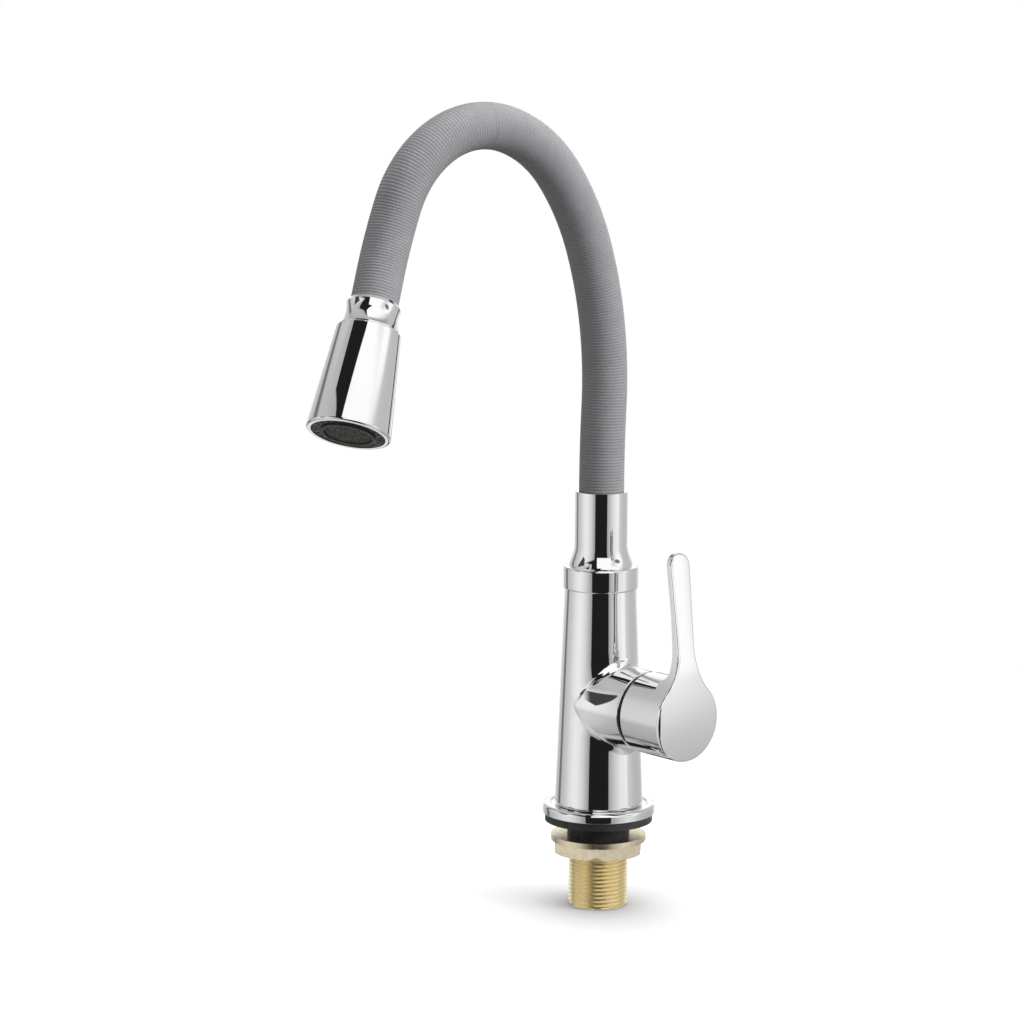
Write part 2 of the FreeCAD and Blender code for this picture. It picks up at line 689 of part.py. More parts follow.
def lever_profile():
    """The side view of the lever's face plate and leaning arm, as a face in the plane Y = 0."""
    foot = BOSS_HEIGHT - LEVER_DIA / 2 - 1
    skirt_top = BOSS_HEIGHT + LEVER_DIA / 2
    top = LEVER_TIP_HEIGHT + 1
    bend = LEVER_BEND_RADIUS * math.sin(math.radians(LEVER_LEAN))
    bend_end = LEVER_LEAN_START + bend
    bend_middle = LEVER_LEAN_START + bend / 2
    root = LEVER_FACE - LEVER_ROOT_DEPTH
    heel = root - LEVER_BACK_RADIUS
    heel_middle = point(
        heel + LEVER_BACK_RADIUS * math.sin(math.radians(45)), 0,
        skirt_top + LEVER_BACK_RADIUS * (1 - math.cos(math.radians(45))))
    front_start = point(LEVER_FACE, 0, LEVER_LEAN_START)
    front_bend = point(lever_front(bend_middle), 0, bend_middle)
    front_end = point(lever_front(bend_end), 0, bend_end)
    front_tip = point(lever_front(top), 0, top)
    back_tip = point(lever_front(top) - LEVER_ARM_DEPTH, 0, top)
    back_slim = point(lever_front(LEVER_SLIM_HEIGHT) - LEVER_ARM_DEPTH, 0, LEVER_SLIM_HEIGHT)
    back_root = point(root, 0, skirt_top + LEVER_BACK_RADIUS)
    heel_top = point(heel, 0, skirt_top)
    lines = [
        Part.LineSegment(point(heel, 0, foot), point(LEVER_FACE, 0, foot)),
        Part.LineSegment(point(LEVER_FACE, 0, foot), front_start),
        Part.Arc(front_start, front_bend, front_end),
        Part.LineSegment(front_end, front_tip),
        Part.LineSegment(front_tip, back_tip),
        Part.LineSegment(back_tip, back_slim),
        Part.LineSegment(back_slim, back_root),
        Part.Arc(back_root, heel_middle, heel_top),
        Part.LineSegment(heel_top, point(heel, 0, foot)),
    ]
    return Part.Face(Part.Wire([line.toShape() for line in lines]))


def front_rim(shape):
    """The edges round the faces of the lever that look along +X."""
    seen = {}
    for face in shape.Faces:
        centre = face.CenterOfMass
        looks = face.normalAt(*face.Surface.parameter(centre)).x
        if looks > 0.9 and centre.x > LEVER_FACE - 2 * LEVER_ROOT_DEPTH:
            for edge in face.Edges:
                seen.setdefault(edge.hashCode(), []).append(edge)
    return [edges[0] for edges in seen.values() if len(edges) == 1]


def make_lever_handle():
    plate = lever_outline().extrude(point(LEVER_FACE + 1, 0, 0))
    side = lever_profile().extrude(point(0, LEVER_DIA + 2, 0))
    side.translate(point(0, -LEVER_DIA / 2 - 1, 0))
    plate = plate.common(side)
    skirt = rod(LEVER_DIA, LEVER_START, LEVER_FACE - LEVER_ROOT_DEPTH)
    skirt = on_boss(skirt.makeFillet(LEVER_SKIRT_ROUND, edges_at(skirt, LEVER_DIA, LEVER_START)))
    handle = skirt.fuse(plate).removeSplitter()
    handle = handle.makeFillet(LEVER_EDGE_ROUND, front_rim(handle))
    # the hollow behind the face, with the hub and the screw's lug left standing
    cavity = rod(LEVER_CAVITY_DIA, LEVER_START - 1, LEVER_FACE - LEVER_FACE_WALL)
    hub = rod(LEVER_HUB_DIA, LEVER_HUB_START, LEVER_FACE)
    lug = Part.makeCylinder(LEVER_LUG_DIA / 2, LEVER_DIA / 2 - 1, point(0, 0, LEVER_SCREW_PLACE), point(1, 0, 0))
    handle = handle.cut(on_boss(cavity.cut(hub).cut(lug)))
    bore = rod(SPINDLE_DIA + 2 * LEVER_HUB_CLEARANCE, LEVER_START, SPINDLE_END + LEVER_HUB_CLEARANCE)
    handle = handle.cut(on_boss(bore))
    screw_way = Part.makeCylinder(
        LEVER_SCREW_DIA / 2 + LEVER_HUB_CLEARANCE, LEVER_DIA, point(0, 0, LEVER_SCREW_PLACE), point(1, 0, 0))
    handle = handle.cut(on_boss(screw_way))
    seat = LEVER_DIA / 2 - LEVER_PLUG_DEPTH
    plug_way = Part.makeCylinder(
        LEVER_PLUG_DIA / 2, LEVER_DIA, point(seat, 0, LEVER_SCREW_PLACE), point(1, 0, 0))
    return handle.cut(on_boss(plug_way))


def make_lever_screw():
    start = SPINDLE_DIA / 2 + LEVER_HUB_CLEARANCE
    screw = Part.makeCylinder(
        LEVER_SCREW_DIA / 2, LEVER_SCREW_LENGTH, point(start, 0, LEVER_SCREW_PLACE), point(1, 0, 0))
    return on_boss(screw)


def make_lever_plug():
    seat = LEVER_DIA / 2 - LEVER_PLUG_DEPTH
    plug = Part.makeCylinder(LEVER_PLUG_DIA / 2, LEVER_DIA, point(seat, 0, LEVER_SCREW_PLACE), point(1, 0, 0))
    return on_boss(plug.common(rod(LEVER_DIA, LEVER_START, LEVER_FACE)))


# The turning foot of the spout


def make_swivel_stem():
    foot, lower_ring, flange, upper_ring = swivel_heights()
    radius = STEM_DIA / 2
    stem = turned([
        (STEM_BORE_DIA / 2, foot),
        (radius, foot),
        (radius, flange),
        (STEM_FLANGE_DIA / 2, flange),
        (STEM_FLANGE_DIA / 2, flange + STEM_FLANGE_THICKNESS),
        (STEM_NECK_DIA / 2, flange + STEM_FLANGE_THICKNESS),
        (STEM_NECK_DIA / 2, HOSE_SEAT),
        (STEM_BORE_DIA / 2, HOSE_SEAT),
    ])
    for index in range(2):
        stem = stem.cut(swivel_ring(index, STEM_DIA + 2))
    return stem


def swivel_ring(index, outer):
    low = swivel_heights()[0] + SWIVEL_RING_LOW + index * SWIVEL_RING_SPACING
    return tube(outer, STEM_DIA - 2 * SWIVEL_RING_DEPTH, low, low + SWIVEL_RING_WIDTH)


def make_swivel_ring_lower():
    return swivel_ring(0, STEM_DIA)


def make_swivel_ring_upper():
    return swivel_ring(1, STEM_DIA)


def make_spout_socket():
    radius = SOCKET_DIA / 2
    flare = SOCKET_FOOT_DIA / 2 - radius
    band = SOCKET_FOOT + SOCKET_FOOT_BAND
    top = SOCKET_FOOT + SOCKET_FLARE_HEIGHT
    thread = STEM_NECK_DIA / 2 + THREAD_CLEARANCE
    bore = HOSE_DIA / 2 + SOCKET_CLEARANCE
    outline = [
        Part.LineSegment(point(thread, 0, SOCKET_FOOT), point(radius + flare, 0, SOCKET_FOOT)),
        Part.LineSegment(point(radius + flare, 0, SOCKET_FOOT), point(radius + flare, 0, band)),
        Part.Arc(
            point(radius + flare, 0, band),
            point(radius + 0.4 * flare, 0, (band + top) / 2),
            point(radius, 0, top)),
        Part.LineSegment(point(radius, 0, top), point(radius, 0, SOCKET_RIM_HEIGHT)),
        Part.LineSegment(point(radius, 0, SOCKET_RIM_HEIGHT), point(bore, 0, SOCKET_RIM_HEIGHT)),
        Part.LineSegment(point(bore, 0, SOCKET_RIM_HEIGHT), point(bore, 0, HOSE_SEAT)),
        Part.LineSegment(point(bore, 0, HOSE_SEAT), point(thread, 0, HOSE_SEAT)),
        Part.LineSegment(point(thread, 0, HOSE_SEAT), point(thread, 0, SOCKET_FOOT)),
    ]
    wire = Part.Wire([line.toShape() for line in outline])
    return Part.Face(wire).revolve(point(0, 0, 0), point(0, 0, 1), 360)


def ferrule():
    """The crimped end of the gooseneck: a flange under the sleeve and a barrel inside it."""
    core = CORE_DIA / 2 + THREAD_CLEARANCE
    top = FERRULE_FLANGE + FERRULE_LENGTH
    return turned([
        (TUBE_BORE_DIA / 2, 0),
        (HOSE_DIA / 2, 0),
        (HOSE_DIA / 2, FERRULE_FLANGE),
        (FERRULE_DIA / 2, FERRULE_FLANGE),
        (FERRULE_DIA / 2, top),
        (core, top),
        (core, top - CORE_IN_FERRULE),
        (TUBE_BORE_DIA / 2, top - CORE_IN_FERRULE),
    ])


def make_hose_ferrule_lower():
    lower = ferrule()
    lower.translate(point(0, 0, HOSE_SEAT))
    return lower


# The hose: the core is four links whose ball ends sit on the bend places


def core_start():
    return FERRULE_LENGTH - CORE_IN_FERRULE


def core_link(first, last, starts_in_cup, ends_in_ball):
    """One length of the gooseneck core between two distances along the hose."""
    shape = pipe(first, last, CORE_DIA)
    if ends_in_ball:
        centre = hose_at(last)[0]
        shape = shape.fuse(Part.makeSphere(CORE_DIA / 2, centre))
    if starts_in_cup:
        centre = hose_at(first)[0]
        shape = shape.cut(Part.makeSphere(CORE_DIA / 2 + CORE_BALL_GAP, centre))
    beyond = CORE_DIA if ends_in_ball else 1
    return shape.cut(pipe(first - 1, last + beyond, CORE_BORE_DIA))


def bend_distance(index):
    return RIM_DISTANCE + BEND_PLACES[index]


def make_gooseneck_link_1():
    return core_link(core_start(), bend_distance(0), False, True)


def make_gooseneck_link_2():
    return core_link(bend_distance(0), bend_distance(1), True, True)


def make_gooseneck_link_3():
    return core_link(bend_distance(1), bend_distance(2), True, True)


def make_gooseneck_link_4():
    return core_link(bend_distance(2), HOSE_LENGTH - core_start(), True, False)


def make_hose_sleeve():
    """The ribbed sleeve: each rib is a root, a flank, a crest and a flank in a ruled loft."""
    straight = HOSE_DIA
    pitch = (HOSE_LENGTH - 2 * straight) / RIB_COUNT
    crest = HOSE_DIA
    root = HOSE_DIA - 2 * RIB_DEPTH
    rings = [ring_at(0, crest), ring_at(straight - RIB_FLANK_SHARE * pitch, crest)]
    root_share = 1 - RIB_CREST_SHARE - 2 * RIB_FLANK_SHARE
    for index in range(RIB_COUNT):
        begin = straight + index * pitch
        rise = begin + root_share * pitch
        top = rise + RIB_FLANK_SHARE * pitch
        fall = top + RIB_CREST_SHARE * pitch
        rings.append(ring_at(begin, root))
        rings.append(ring_at(rise, root))
        rings.append(ring_at(top, crest))
        if index < RIB_COUNT - 1:
            rings.append(ring_at(fall, crest))
    rings.append(ring_at(HOSE_LENGTH, crest))
    outside = Part.makeLoft(rings, True, True)
    return outside.cut(pipe(-1, HOSE_LENGTH + 1, HOSE_BORE_DIA))


def make_water_tube():
    start = core_start()
    end = HOSE_LENGTH - start
    return pipe(start, end, TUBE_DIA).cut(pipe(start - 1, end + 1, TUBE_BORE_DIA))


# The spray head, made about Z with 0 at the neck's rim and Z growing towards the sink


def make_hose_ferrule_upper():
    upper = ferrule()
    upper.rotate(point(0, 0, 0), point(1, 0, 0), 180)
    upper.translate(point(0, 0, HOSE_IN_NECK + FERRULE_FLANGE))
    return head_place(upper)


def make_head_neck():
    seat = HOSE_IN_NECK + FERRULE_FLANGE
    hose = HOSE_DIA / 2 + SOCKET_CLEARANCE
    barrel = NECK_BARREL_DIA / 2
    waist = NECK_WAIST_DIA / 2
    bore = NECK_BORE_DIA / 2
    corners = [
        point(hose, 0, 0),
        point(hose + NECK_RIM_WALL, 0, 0),
        point(NECK_DIA / 2, 0, NECK_CHAMFER_LENGTH),
        point(barrel, 0, NECK_FLARE_END),
        point(barrel, 0, NECK_LENGTH),
        point(bore, 0, NECK_LENGTH),
        point(bore, 0, seat),
        point(hose, 0, seat),
    ]
    edges = []
    for index, corner in enumerate(corners):
        following = corners[(index + 1) % len(corners)]
        if index == 2:
            edges.append(Part.Arc(corner, point(waist, 0, NECK_WAIST_PLACE), following).toShape())
        else:
            edges.append(Part.LineSegment(corner, following).toShape())
    neck = Part.Face(Part.Wire(edges)).revolve(point(0, 0, 0), point(0, 0, 1), 360)
    return head_place(neck.cut(neck_ring(NECK_BARREL_DIA + 2)))


def neck_ring(outer):
    inner = NECK_BARREL_DIA - 2 * NECK_RING_DEPTH
    return tube(outer, inner, NECK_RING_PLACE, NECK_RING_PLACE + NECK_RING_WIDTH)


def make_neck_ring():
    return head_place(neck_ring(NECK_BARREL_DIA))


def make_stop_collar():
    collar = tube(STOP_COLLAR_DIA, NECK_BORE_DIA, NECK_LENGTH, NECK_LENGTH + STOP_COLLAR_THICKNESS)
    return head_place(collar)


def around(shape, count):
    """Copies of a shape spaced evenly round Z."""
    copies = []
    for index in range(count):
        copy = shape.copy()
        copy.rotate(point(0, 0, 0), point(0, 0, 1), 360 * index / count)
        copies.append(copy)
    return copies


def diverter_heights():
    """Heights of the diverter stem's flange, its seal and the seal's end."""
    seal_end = GUIDE_FLOOR_TOP - DIVERTER_SEAL_GAP
    seal = seal_end - DIVERTER_SEAL_THICKNESS
    return seal - DIVERTER_FLANGE_THICKNESS, seal, seal_end


def make_diverter_stem():
    flange, seal, seal_end = diverter_heights()
    radius = DIVERTER_DIA / 2
    bore = DIVERTER_BORE_DIA / 2
    start = NECK_LENGTH - DIVERTER_THREAD_LENGTH
    collar_foot = NECK_LENGTH + STOP_COLLAR_THICKNESS
    stem = turned([
        (bore, start),
        (NECK_BORE_DIA / 2, start),
        (NECK_BORE_DIA / 2, collar_foot),
        (radius, collar_foot),
        (radius, flange),
        (DIVERTER_FLANGE_DIA / 2, flange),
        (DIVERTER_FLANGE_DIA / 2, seal),
        (radius, seal),
        (radius, seal_end),
        (0, seal_end),
        (0, flange),
        (bore, flange),
    ])
    port = Part.makeCylinder(
        DIVERTER_PORT_DIA / 2, DIVERTER_DIA, point(0, 0, (collar_foot + flange) / 2), point(1, 0, 0))
    for cutter in around(port, 4):
        stem = stem.cut(cutter)
    return head_place(stem)


def make_diverter_seal():
    flange, seal, seal_end = diverter_heights()
    return head_place(tube(DIVERTER_FLANGE_DIA, DIVERTER_DIA, seal, seal_end))


def make_spray_bell():
    lip = NECK_BARREL_DIA / 2 + BELL_CLEARANCE
    shoulder = NECK_LENGTH - BELL_TRAVEL - BELL_STOP_GAP
    mouth = BELL_MOUTH_DIA / 2
    guide = BELL_GUIDE_DIA / 2
    cavity = BELL_CAVITY_DIA / 2
    bell = turned([
        (lip, BELL_TOP),
        (BELL_TOP_DIA / 2, BELL_TOP),
        (BELL_BOTTOM_DIA / 2, BELL_BOTTOM),
        (mouth, BELL_BOTTOM),
        (mouth, FACE_TOP),
        (guide, FACE_TOP),
        (guide, BELL_CAVITY_END),
        (cavity, BELL_CAVITY_END),
        (cavity, shoulder),
        (lip, shoulder),
    ])
    bell = bell.makeFillet(BELL_RIM_ROUND, edges_at(bell, BELL_BOTTOM_DIA, BELL_BOTTOM))
    bell = bell.makeFillet(BELL_TOP_ROUND, edges_at(bell, BELL_TOP_DIA, BELL_TOP))
    return head_place(bell)


def make_water_guide():
    outer = BELL_GUIDE_DIA / 2 - FACE_GAP
    inner = outer - GUIDE_WALL
    hole = GUIDE_HOLE_DIA / 2
    socket = AERATOR_DIA / 2 + THREAD_CLEARANCE
    guide = turned([
        (hole, GUIDE_FLOOR_TOP),
        (inner, GUIDE_FLOOR_TOP),
        (inner, GUIDE_TOP),
        (outer, GUIDE_TOP),
        (outer, AERATOR_SEAT),
        (socket + GUIDE_WALL, AERATOR_SEAT),
        (socket + GUIDE_WALL, FACE_TOP),
        (socket, FACE_TOP),
        (socket, AERATOR_SEAT),
        (hole, AERATOR_SEAT),
    ])
    port = Part.makeCylinder(
        GUIDE_PORT_DIA / 2, GUIDE_FLOOR + 2, point(GUIDE_PORT_CIRCLE_DIA / 2, 0, GUIDE_FLOOR_TOP - 1))
    for cutter in around(port, GUIDE_PORTS):
        guide = guide.cut(cutter)
    return head_place(guide)


def make_face_ring():
    outer = BELL_MOUTH_DIA / 2 - FACE_GAP
    socket = AERATOR_DIA / 2 + THREAD_CLEARANCE
    face = turned([
        (socket, FACE_TOP),
        (outer, FACE_TOP),
        (outer, FACE_BOTTOM),
        (socket, FACE_BOTTOM),
    ])
    nozzle = Part.makeCylinder(
        NOZZLE_DIA / 2, FACE_THICKNESS + 2, point(NOZZLE_CIRCLE_DIA / 2, 0, FACE_TOP - 1))
    for cutter in around(nozzle, NOZZLE_COUNT):
        face = face.cut(cutter)
    return head_place(face)


def make_aerator_housing():
    outer = AERATOR_DIA / 2
    inner = outer - AERATOR_WALL
    ledge = inner - AERATOR_WALL
    mesh_top = AERATOR_BOTTOM - 2 * MESH_THICKNESS
    return head_place(turned([
        (ledge, AERATOR_TOP),
        (outer, AERATOR_TOP),
        (outer, AERATOR_BOTTOM),
        (inner, AERATOR_BOTTOM),
        (inner, mesh_top),
        (ledge, mesh_top),
    ]))


def make_aerator_mesh():
    inner = AERATOR_DIA / 2 - AERATOR_WALL
    low = AERATOR_BOTTOM - 2 * MESH_THICKNESS
    disc = rod(2 * inner, low, low + MESH_THICKNESS)
    reach = int((inner - MESH_HOLE) / MESH_PITCH)
    holes = []
    for column in range(-reach, reach + 1):
        for row in range(-reach, reach + 1):
            x = column * MESH_PITCH
            y = row * MESH_PITCH
            if math.hypot(x, y) + MESH_HOLE < inner:
                hole = Part.makeBox(MESH_HOLE, MESH_HOLE, MESH_THICKNESS + 2)
                hole.translate(point(x - MESH_HOLE / 2, y - MESH_HOLE / 2, low - 1))
                holes.append(hole)
    return head_place(disc.cut(Part.makeCompound(holes)))


def make_aerator_seal():
    return head_place(tube(AERATOR_DIA, GUIDE_HOLE_DIA, AERATOR_SEAT, AERATOR_TOP))


PIECES = {
    "threaded_shank": make_threaded_shank,
    "shank_seal": make_shank_seal,
    "back_nut": make_back_nut,
    "centring_sleeve": make_centring_sleeve,
    "base_washer": make_base_washer,
    "base_flange": make_base_flange,
    "body_casting": make_body_casting,
    "top_collar": make_top_collar,
    "slip_ring_lower": make_slip_ring_lower,
    "slip_ring_upper": make_slip_ring_upper,
    "seat_seal": make_seat_seal,
    "ceramic_disc_fixed": make_ceramic_disc_fixed,
    "cartridge_body": make_cartridge_body,
    "boss_spacer": make_boss_spacer,
    "ceramic_disc_moving": make_ceramic_disc_moving,
    "spindle": make_spindle,
    "spindle_ring": make_spindle_ring,
    "lever_handle": make_lever_handle,
    "lever_screw": make_lever_screw,
    "lever_plug": make_lever_plug,
    "swivel_stem": make_swivel_stem,
    "swivel_ring_lower": make_swivel_ring_lower,
    "swivel_ring_upper": make_swivel_ring_upper,
    "spout_socket": make_spout_socket,
    "hose_ferrule_lower": make_hose_ferrule_lower,
    "gooseneck_link_1": make_gooseneck_link_1,
    "gooseneck_link_2": make_gooseneck_link_2,
    "gooseneck_link_3": make_gooseneck_link_3,
    "gooseneck_link_4": make_gooseneck_link_4,
    "hose_sleeve": make_hose_sleeve,
    "water_tube": make_water_tube,
    "hose_ferrule_upper": make_hose_ferrule_upper,
    "head_neck": make_head_neck,
    "neck_ring": make_neck_ring,
    "stop_collar": make_stop_collar,
    "diverter_stem": make_diverter_stem,
    "diverter_seal": make_diverter_seal,
    "spray_bell": make_spray_bell,
    "water_guide": make_water_guide,
    "face_ring": make_face_ring,
    "aerator_housing": make_aerator_housing,
    "aerator_mesh": make_aerator_mesh,
    "aerator_seal": make_aerator_seal,
}

for name, make in PIECES.items():
    solid = make()
    if len(solid.Solids) == 1:
        solid = solid.Solids[0]
    solid.exportStep("parts/" + name + ".step")
    print(name, "solids", len(solid.Solids), "valid", solid.isValid(), "volume", round(solid.Volume, 1))

for index, place in enumerate(BEND_PLACES):
    print("bend place", index + 1, [round(value, 3) for value in hose_at(bend_distance(index))[0]])
print("hose length", round(HOSE_LENGTH, 1), "of which shows", round(HOSE_LENGTH - RIM_DISTANCE - HOSE_IN_NECK, 1))
print("rim of the neck", [round(value, 3) for value in hose_at(HOSE_LENGTH - HOSE_IN_NECK)[0]])
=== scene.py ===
import json
import math

import bmesh
import bpy
from mathutils import Matrix, Vector


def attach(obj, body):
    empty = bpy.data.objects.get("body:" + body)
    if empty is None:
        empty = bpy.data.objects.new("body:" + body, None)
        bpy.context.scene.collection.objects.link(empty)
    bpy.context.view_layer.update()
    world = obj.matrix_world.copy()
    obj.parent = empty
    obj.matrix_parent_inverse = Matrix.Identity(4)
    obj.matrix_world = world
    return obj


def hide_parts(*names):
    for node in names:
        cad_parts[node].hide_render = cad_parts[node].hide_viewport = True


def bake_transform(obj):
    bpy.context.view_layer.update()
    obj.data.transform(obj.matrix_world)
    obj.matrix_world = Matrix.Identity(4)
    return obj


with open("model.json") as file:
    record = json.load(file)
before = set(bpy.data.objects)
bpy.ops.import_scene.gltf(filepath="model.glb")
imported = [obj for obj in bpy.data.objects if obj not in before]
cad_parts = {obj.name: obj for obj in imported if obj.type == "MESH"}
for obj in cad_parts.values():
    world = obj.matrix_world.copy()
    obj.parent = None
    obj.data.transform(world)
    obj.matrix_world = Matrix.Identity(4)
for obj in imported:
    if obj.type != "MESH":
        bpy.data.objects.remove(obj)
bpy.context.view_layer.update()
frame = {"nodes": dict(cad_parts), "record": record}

# Lengths are in metres and angles in degrees, in the frame's own axes: the deck at height 0, the spout
# towards -Y and the lever on the +X side

# Camera, where the photograph was taken from, with its lens and sensor in millimetres
CAMERA_PLACE = Vector((1.1205, -0.9972, 0.3746))
CAMERA_AZIMUTH = 48.33
CAMERA_PITCH = 8.941
CAMERA_YAW = -1.508
CAMERA_ROLL = 0.31
LENS = 120.97
SENSOR = 36.0

# The studio that the chrome mirrors. A bearing is counted from the camera's azimuth, positive to the right
# of its picture. A level is the sRGB grey that the chrome shows, from 0 to 255.
CAMERA_BEARING = math.degrees(math.atan2(CAMERA_PLACE.y, CAMERA_PLACE.x))
CHROME_SHARE = 0.80
BRIGHT_LEVEL = 253

# Walls: bearing and level near the horizon, the same higher up, and the heights between which they change
STUDIO_LEVEL = (
    (-180, 252), (-164, 250), (-156, 196), (-137, 188), (-131, 112),
    (-124, 112), (-119, 184), (-100, 200), (-85, 222), (-70, 234),
    (-58, 228), (-44, 206), (-26, 146), (0, 150), (26, 158),
    (44, 202), (62, 230), (72, 226), (85, 208), (104, 188),
    (124, 184), (140, 188), (156, 200), (164, 250), (180, 252),
)
STUDIO_HIGH = (
    (-180, 190), (-146, 158), (-128, 178), (-100, 184), (-72, 172), (-44, 160), (-36, 246), (20, 253),
    (72, 252), (86, 236), (98, 206), (108, 160), (120, 158), (130, 190), (150, 182), (180, 170),
)
HIGH_FROM, HIGH_FULL = 24.0, 40.0

# A card's edges are soft by this much to either side, unless it has its own softness
CARD_EDGE = 1.0

# A dark card behind the tap: how far round it starts and is full, the heights between which it fades
# out, and its level
BACK_CARD_START, BACK_CARD_FULL = 168.48, 172.8
BACK_CARD_FADED, BACK_CARD_TOP = 6.0, -2.0
BACK_CARD_LEVEL = 60

# Below the horizon the studio is dimmer: the heights between which it dims, and the light that is left
DIM_FROM, DIM_FULL = -8.0, -20.0
DIM_SHARE = 0.74

# A soft bright card to the right, whose glow runs down the lever: its middle, half sizes and soft edge
CARD_BEARING, CARD_HEIGHT = 78.0, 12.0
CARD_HALF_WIDTH, CARD_HALF_HEIGHT = 17.0, 25.0
CARD_FADED, CARD_FULL = 1.3, 0.1

# A dark card to the left, which the flares of the boss and the socket mirror. Its left edge and its foot
# slant, so each has its place at height or bearing 0 and its change with each degree.
SIDE_CARD_LEFT, SIDE_CARD_LEFT_SLANT = -75.3, -0.9
SIDE_CARD_FARTHEST = -100.0
SIDE_CARD_FOOT, SIDE_CARD_FOOT_SLANT = 62.4, 0.82
SIDE_CARD_RIGHT, SIDE_CARD_RIGHT_EDGE = -67.0, 4.0
SIDE_CARD_TOP = 29.0
SIDE_CARD_LEVEL = 64

# The dark gap in front of the tap: its left and right edges at three heights, and its level
GAP_HEIGHTS = (20.0, 50.0, 67.0)
GAP_LEFT = (-26.5, -80.0, -50.0)
GAP_RIGHT = (26.0, 0.0, -27.0)
GAP_LEVEL = 29

# The bright window in the gap, which the socket's flare and the head's neck mirror: its heights, its
# left and right edges, and how soft the right one is
WINDOW_LOW, WINDOW_HIGH = 4.0, 45.0
WINDOW_LEFT, WINDOW_RIGHT = -16.0, 44.0
WINDOW_RIGHT_EDGE = 8.0

# A dark wedge left of the window, from its tip to the window's edge, and how soft it is
WEDGE_TIP, WEDGE_HEIGHT = -63.0, 20.0
WEDGE_SLOPE = 0.28
WEDGE_EDGE = 3.0

# A small grey card to the right, which that flare and neck mirror too: its middle, half sizes, soft edge
# and level
MARK_BEARING, MARK_HEIGHT = 68.0, 13.0
MARK_HALF_WIDTH, MARK_HALF_HEIGHT = 12.0, 6.0
MARK_FADED, MARK_FULL = 1.7, 0.5
MARK_LEVEL = 118

# Soft light for surfaces that aren't mirrors: its strength from the floor to overhead
AMBIENT_LOW, AMBIENT_HIGH = 0.39, 0.70
AMBIENT_FROM, AMBIENT_TO = -20.0, 70.0

# Lamps: name, place, size and power. All aim at the middle of the tap.
LAMPS = (
    ("key", (1.35, 0.75, 0.85), 1.0, 34.0),
    ("top", (-0.1, 0.2, 1.8), 1.2, 22.0),
)
LAMP_AIM = Vector((0.0, -0.05, 0.2))

# Noise in the materials: its middle range, over which a colour or roughness changes, and its details
NOISE_LOW, NOISE_HIGH = 0.3, 0.7
DRIFT_DETAIL, BUMP_DETAIL, FLOOR_DETAIL = 4.0, 3.0, 2.0

# Polished chrome
CHROME_COLOUR = (CHROME_SHARE, CHROME_SHARE, CHROME_SHARE * 1.01)
CHROME_ROUGHNESS = 0.03
CHROME_DRIFT = 0.01

# The lever's polish: height of the boss axis, how far above it the disc's dome goes on, the radii of the
# slight domes along the face and across its disc and arm, and where above the axis the arm starts
LEVER_CENTRE = 0.0543
FACE_REACH = 0.018
FACE_DOME_RADIUS = 0.30
FACE_CROSS_RADIUS = 0.90
ARM_DOME_RADIUS = 0.075
ARM_FOOT, ARM_FULL = 0.012, 0.040

# The wider rounding of the lever's face along its left rim: where it runs along Y and X, and its slope
RIM_START, RIM_END = -0.0148, -0.0175
RIM_BACK, RIM_FRONT = 0.0562, 0.0568
RIM_SLOPE = 1.2

# The spray head's axis, how far along it from the head's rim the bell's middle lies, and the radius of
# the slight hollow that the bell's wall is polished to
HEAD_AXIS = Vector((0.231, -0.415, -0.880)).normalized()
BELL_MIDDLE = 0.035
BELL_FLARE_RADIUS = 0.25

# The boss's flare and where along X it starts and ends, the column's wall beside it as two heights and
# the radii there, and how far outside that wall the flare starts and is full
BOSS_FLARE = 18.0
BOSS_FLARE_START, BOSS_FLARE_END = 0.005, 0.031
COLUMN_LOW, COLUMN_HIGH = 0.0073, 0.105
COLUMN_LOW_RADIUS, COLUMN_HIGH_RADIUS = 0.01965, 0.0158
WALL_START, WALL_END = 0.0001, 0.0007

# The socket's flare: the heights of its start and foot, its slope at the foot, and how softly it starts
SOCKET_FLARE_TOP, SOCKET_FLARE_FOOT = 0.1245, 0.1151
SOCKET_FLARE_SLOPE = 0.64
SOCKET_FLARE_EDGE = 0.0001

# The hose's centre line: a rise, seven arcs of one length, an arc and a straight into the head
HOSE_FOOT = 0.1234
SOCKET_RIM = 0.1484
HOSE_RISE = 0.0016
HOSE_BEND_LENGTH = 0.036
HOSE_BEND_TURNS = (-3.0, 10.8, 11.5, 19.0, 35.0, 44.1, 41.0)
HOSE_END_RADIUS = 0.130
HOSE_END_STRAIGHT = 0.0207
HOSE_IN_NECK = 0.008
RIM_DISTANCE = SOCKET_RIM - HOSE_FOOT

# The sleeve's ribs. The profile of one rib gives places as shares of its pitch, and how far each lies
# below its crown as shares of its depth.
HOSE_RADIUS = 0.010
RIBS_SHOWN = 228
RIB_DEPTH = 0.00024
RIB_PROFILE = ((0.0, 1.0), (0.20, 0.15), (0.50, 0.0), (0.80, 0.15))
SLEEVE_SIDES = 64

# The water tube inside the sleeve
TUBE_RADIUS = 0.0038
TUBE_INSET = 0.004
TUBE_STEP = 0.002
TUBE_SIDES = 24

# Bends: the two bodies of each joint and its distance from the socket's rim, and where the hose is cut
# between them
BENDS = (
    ("spout_foot", "spout_riser", 0.060),
    ("spout_riser", "spout_crown", 0.148),
    ("spout_crown", "spout_end", 0.240),
)
HOSE_CUTS = (0.104, 0.194)

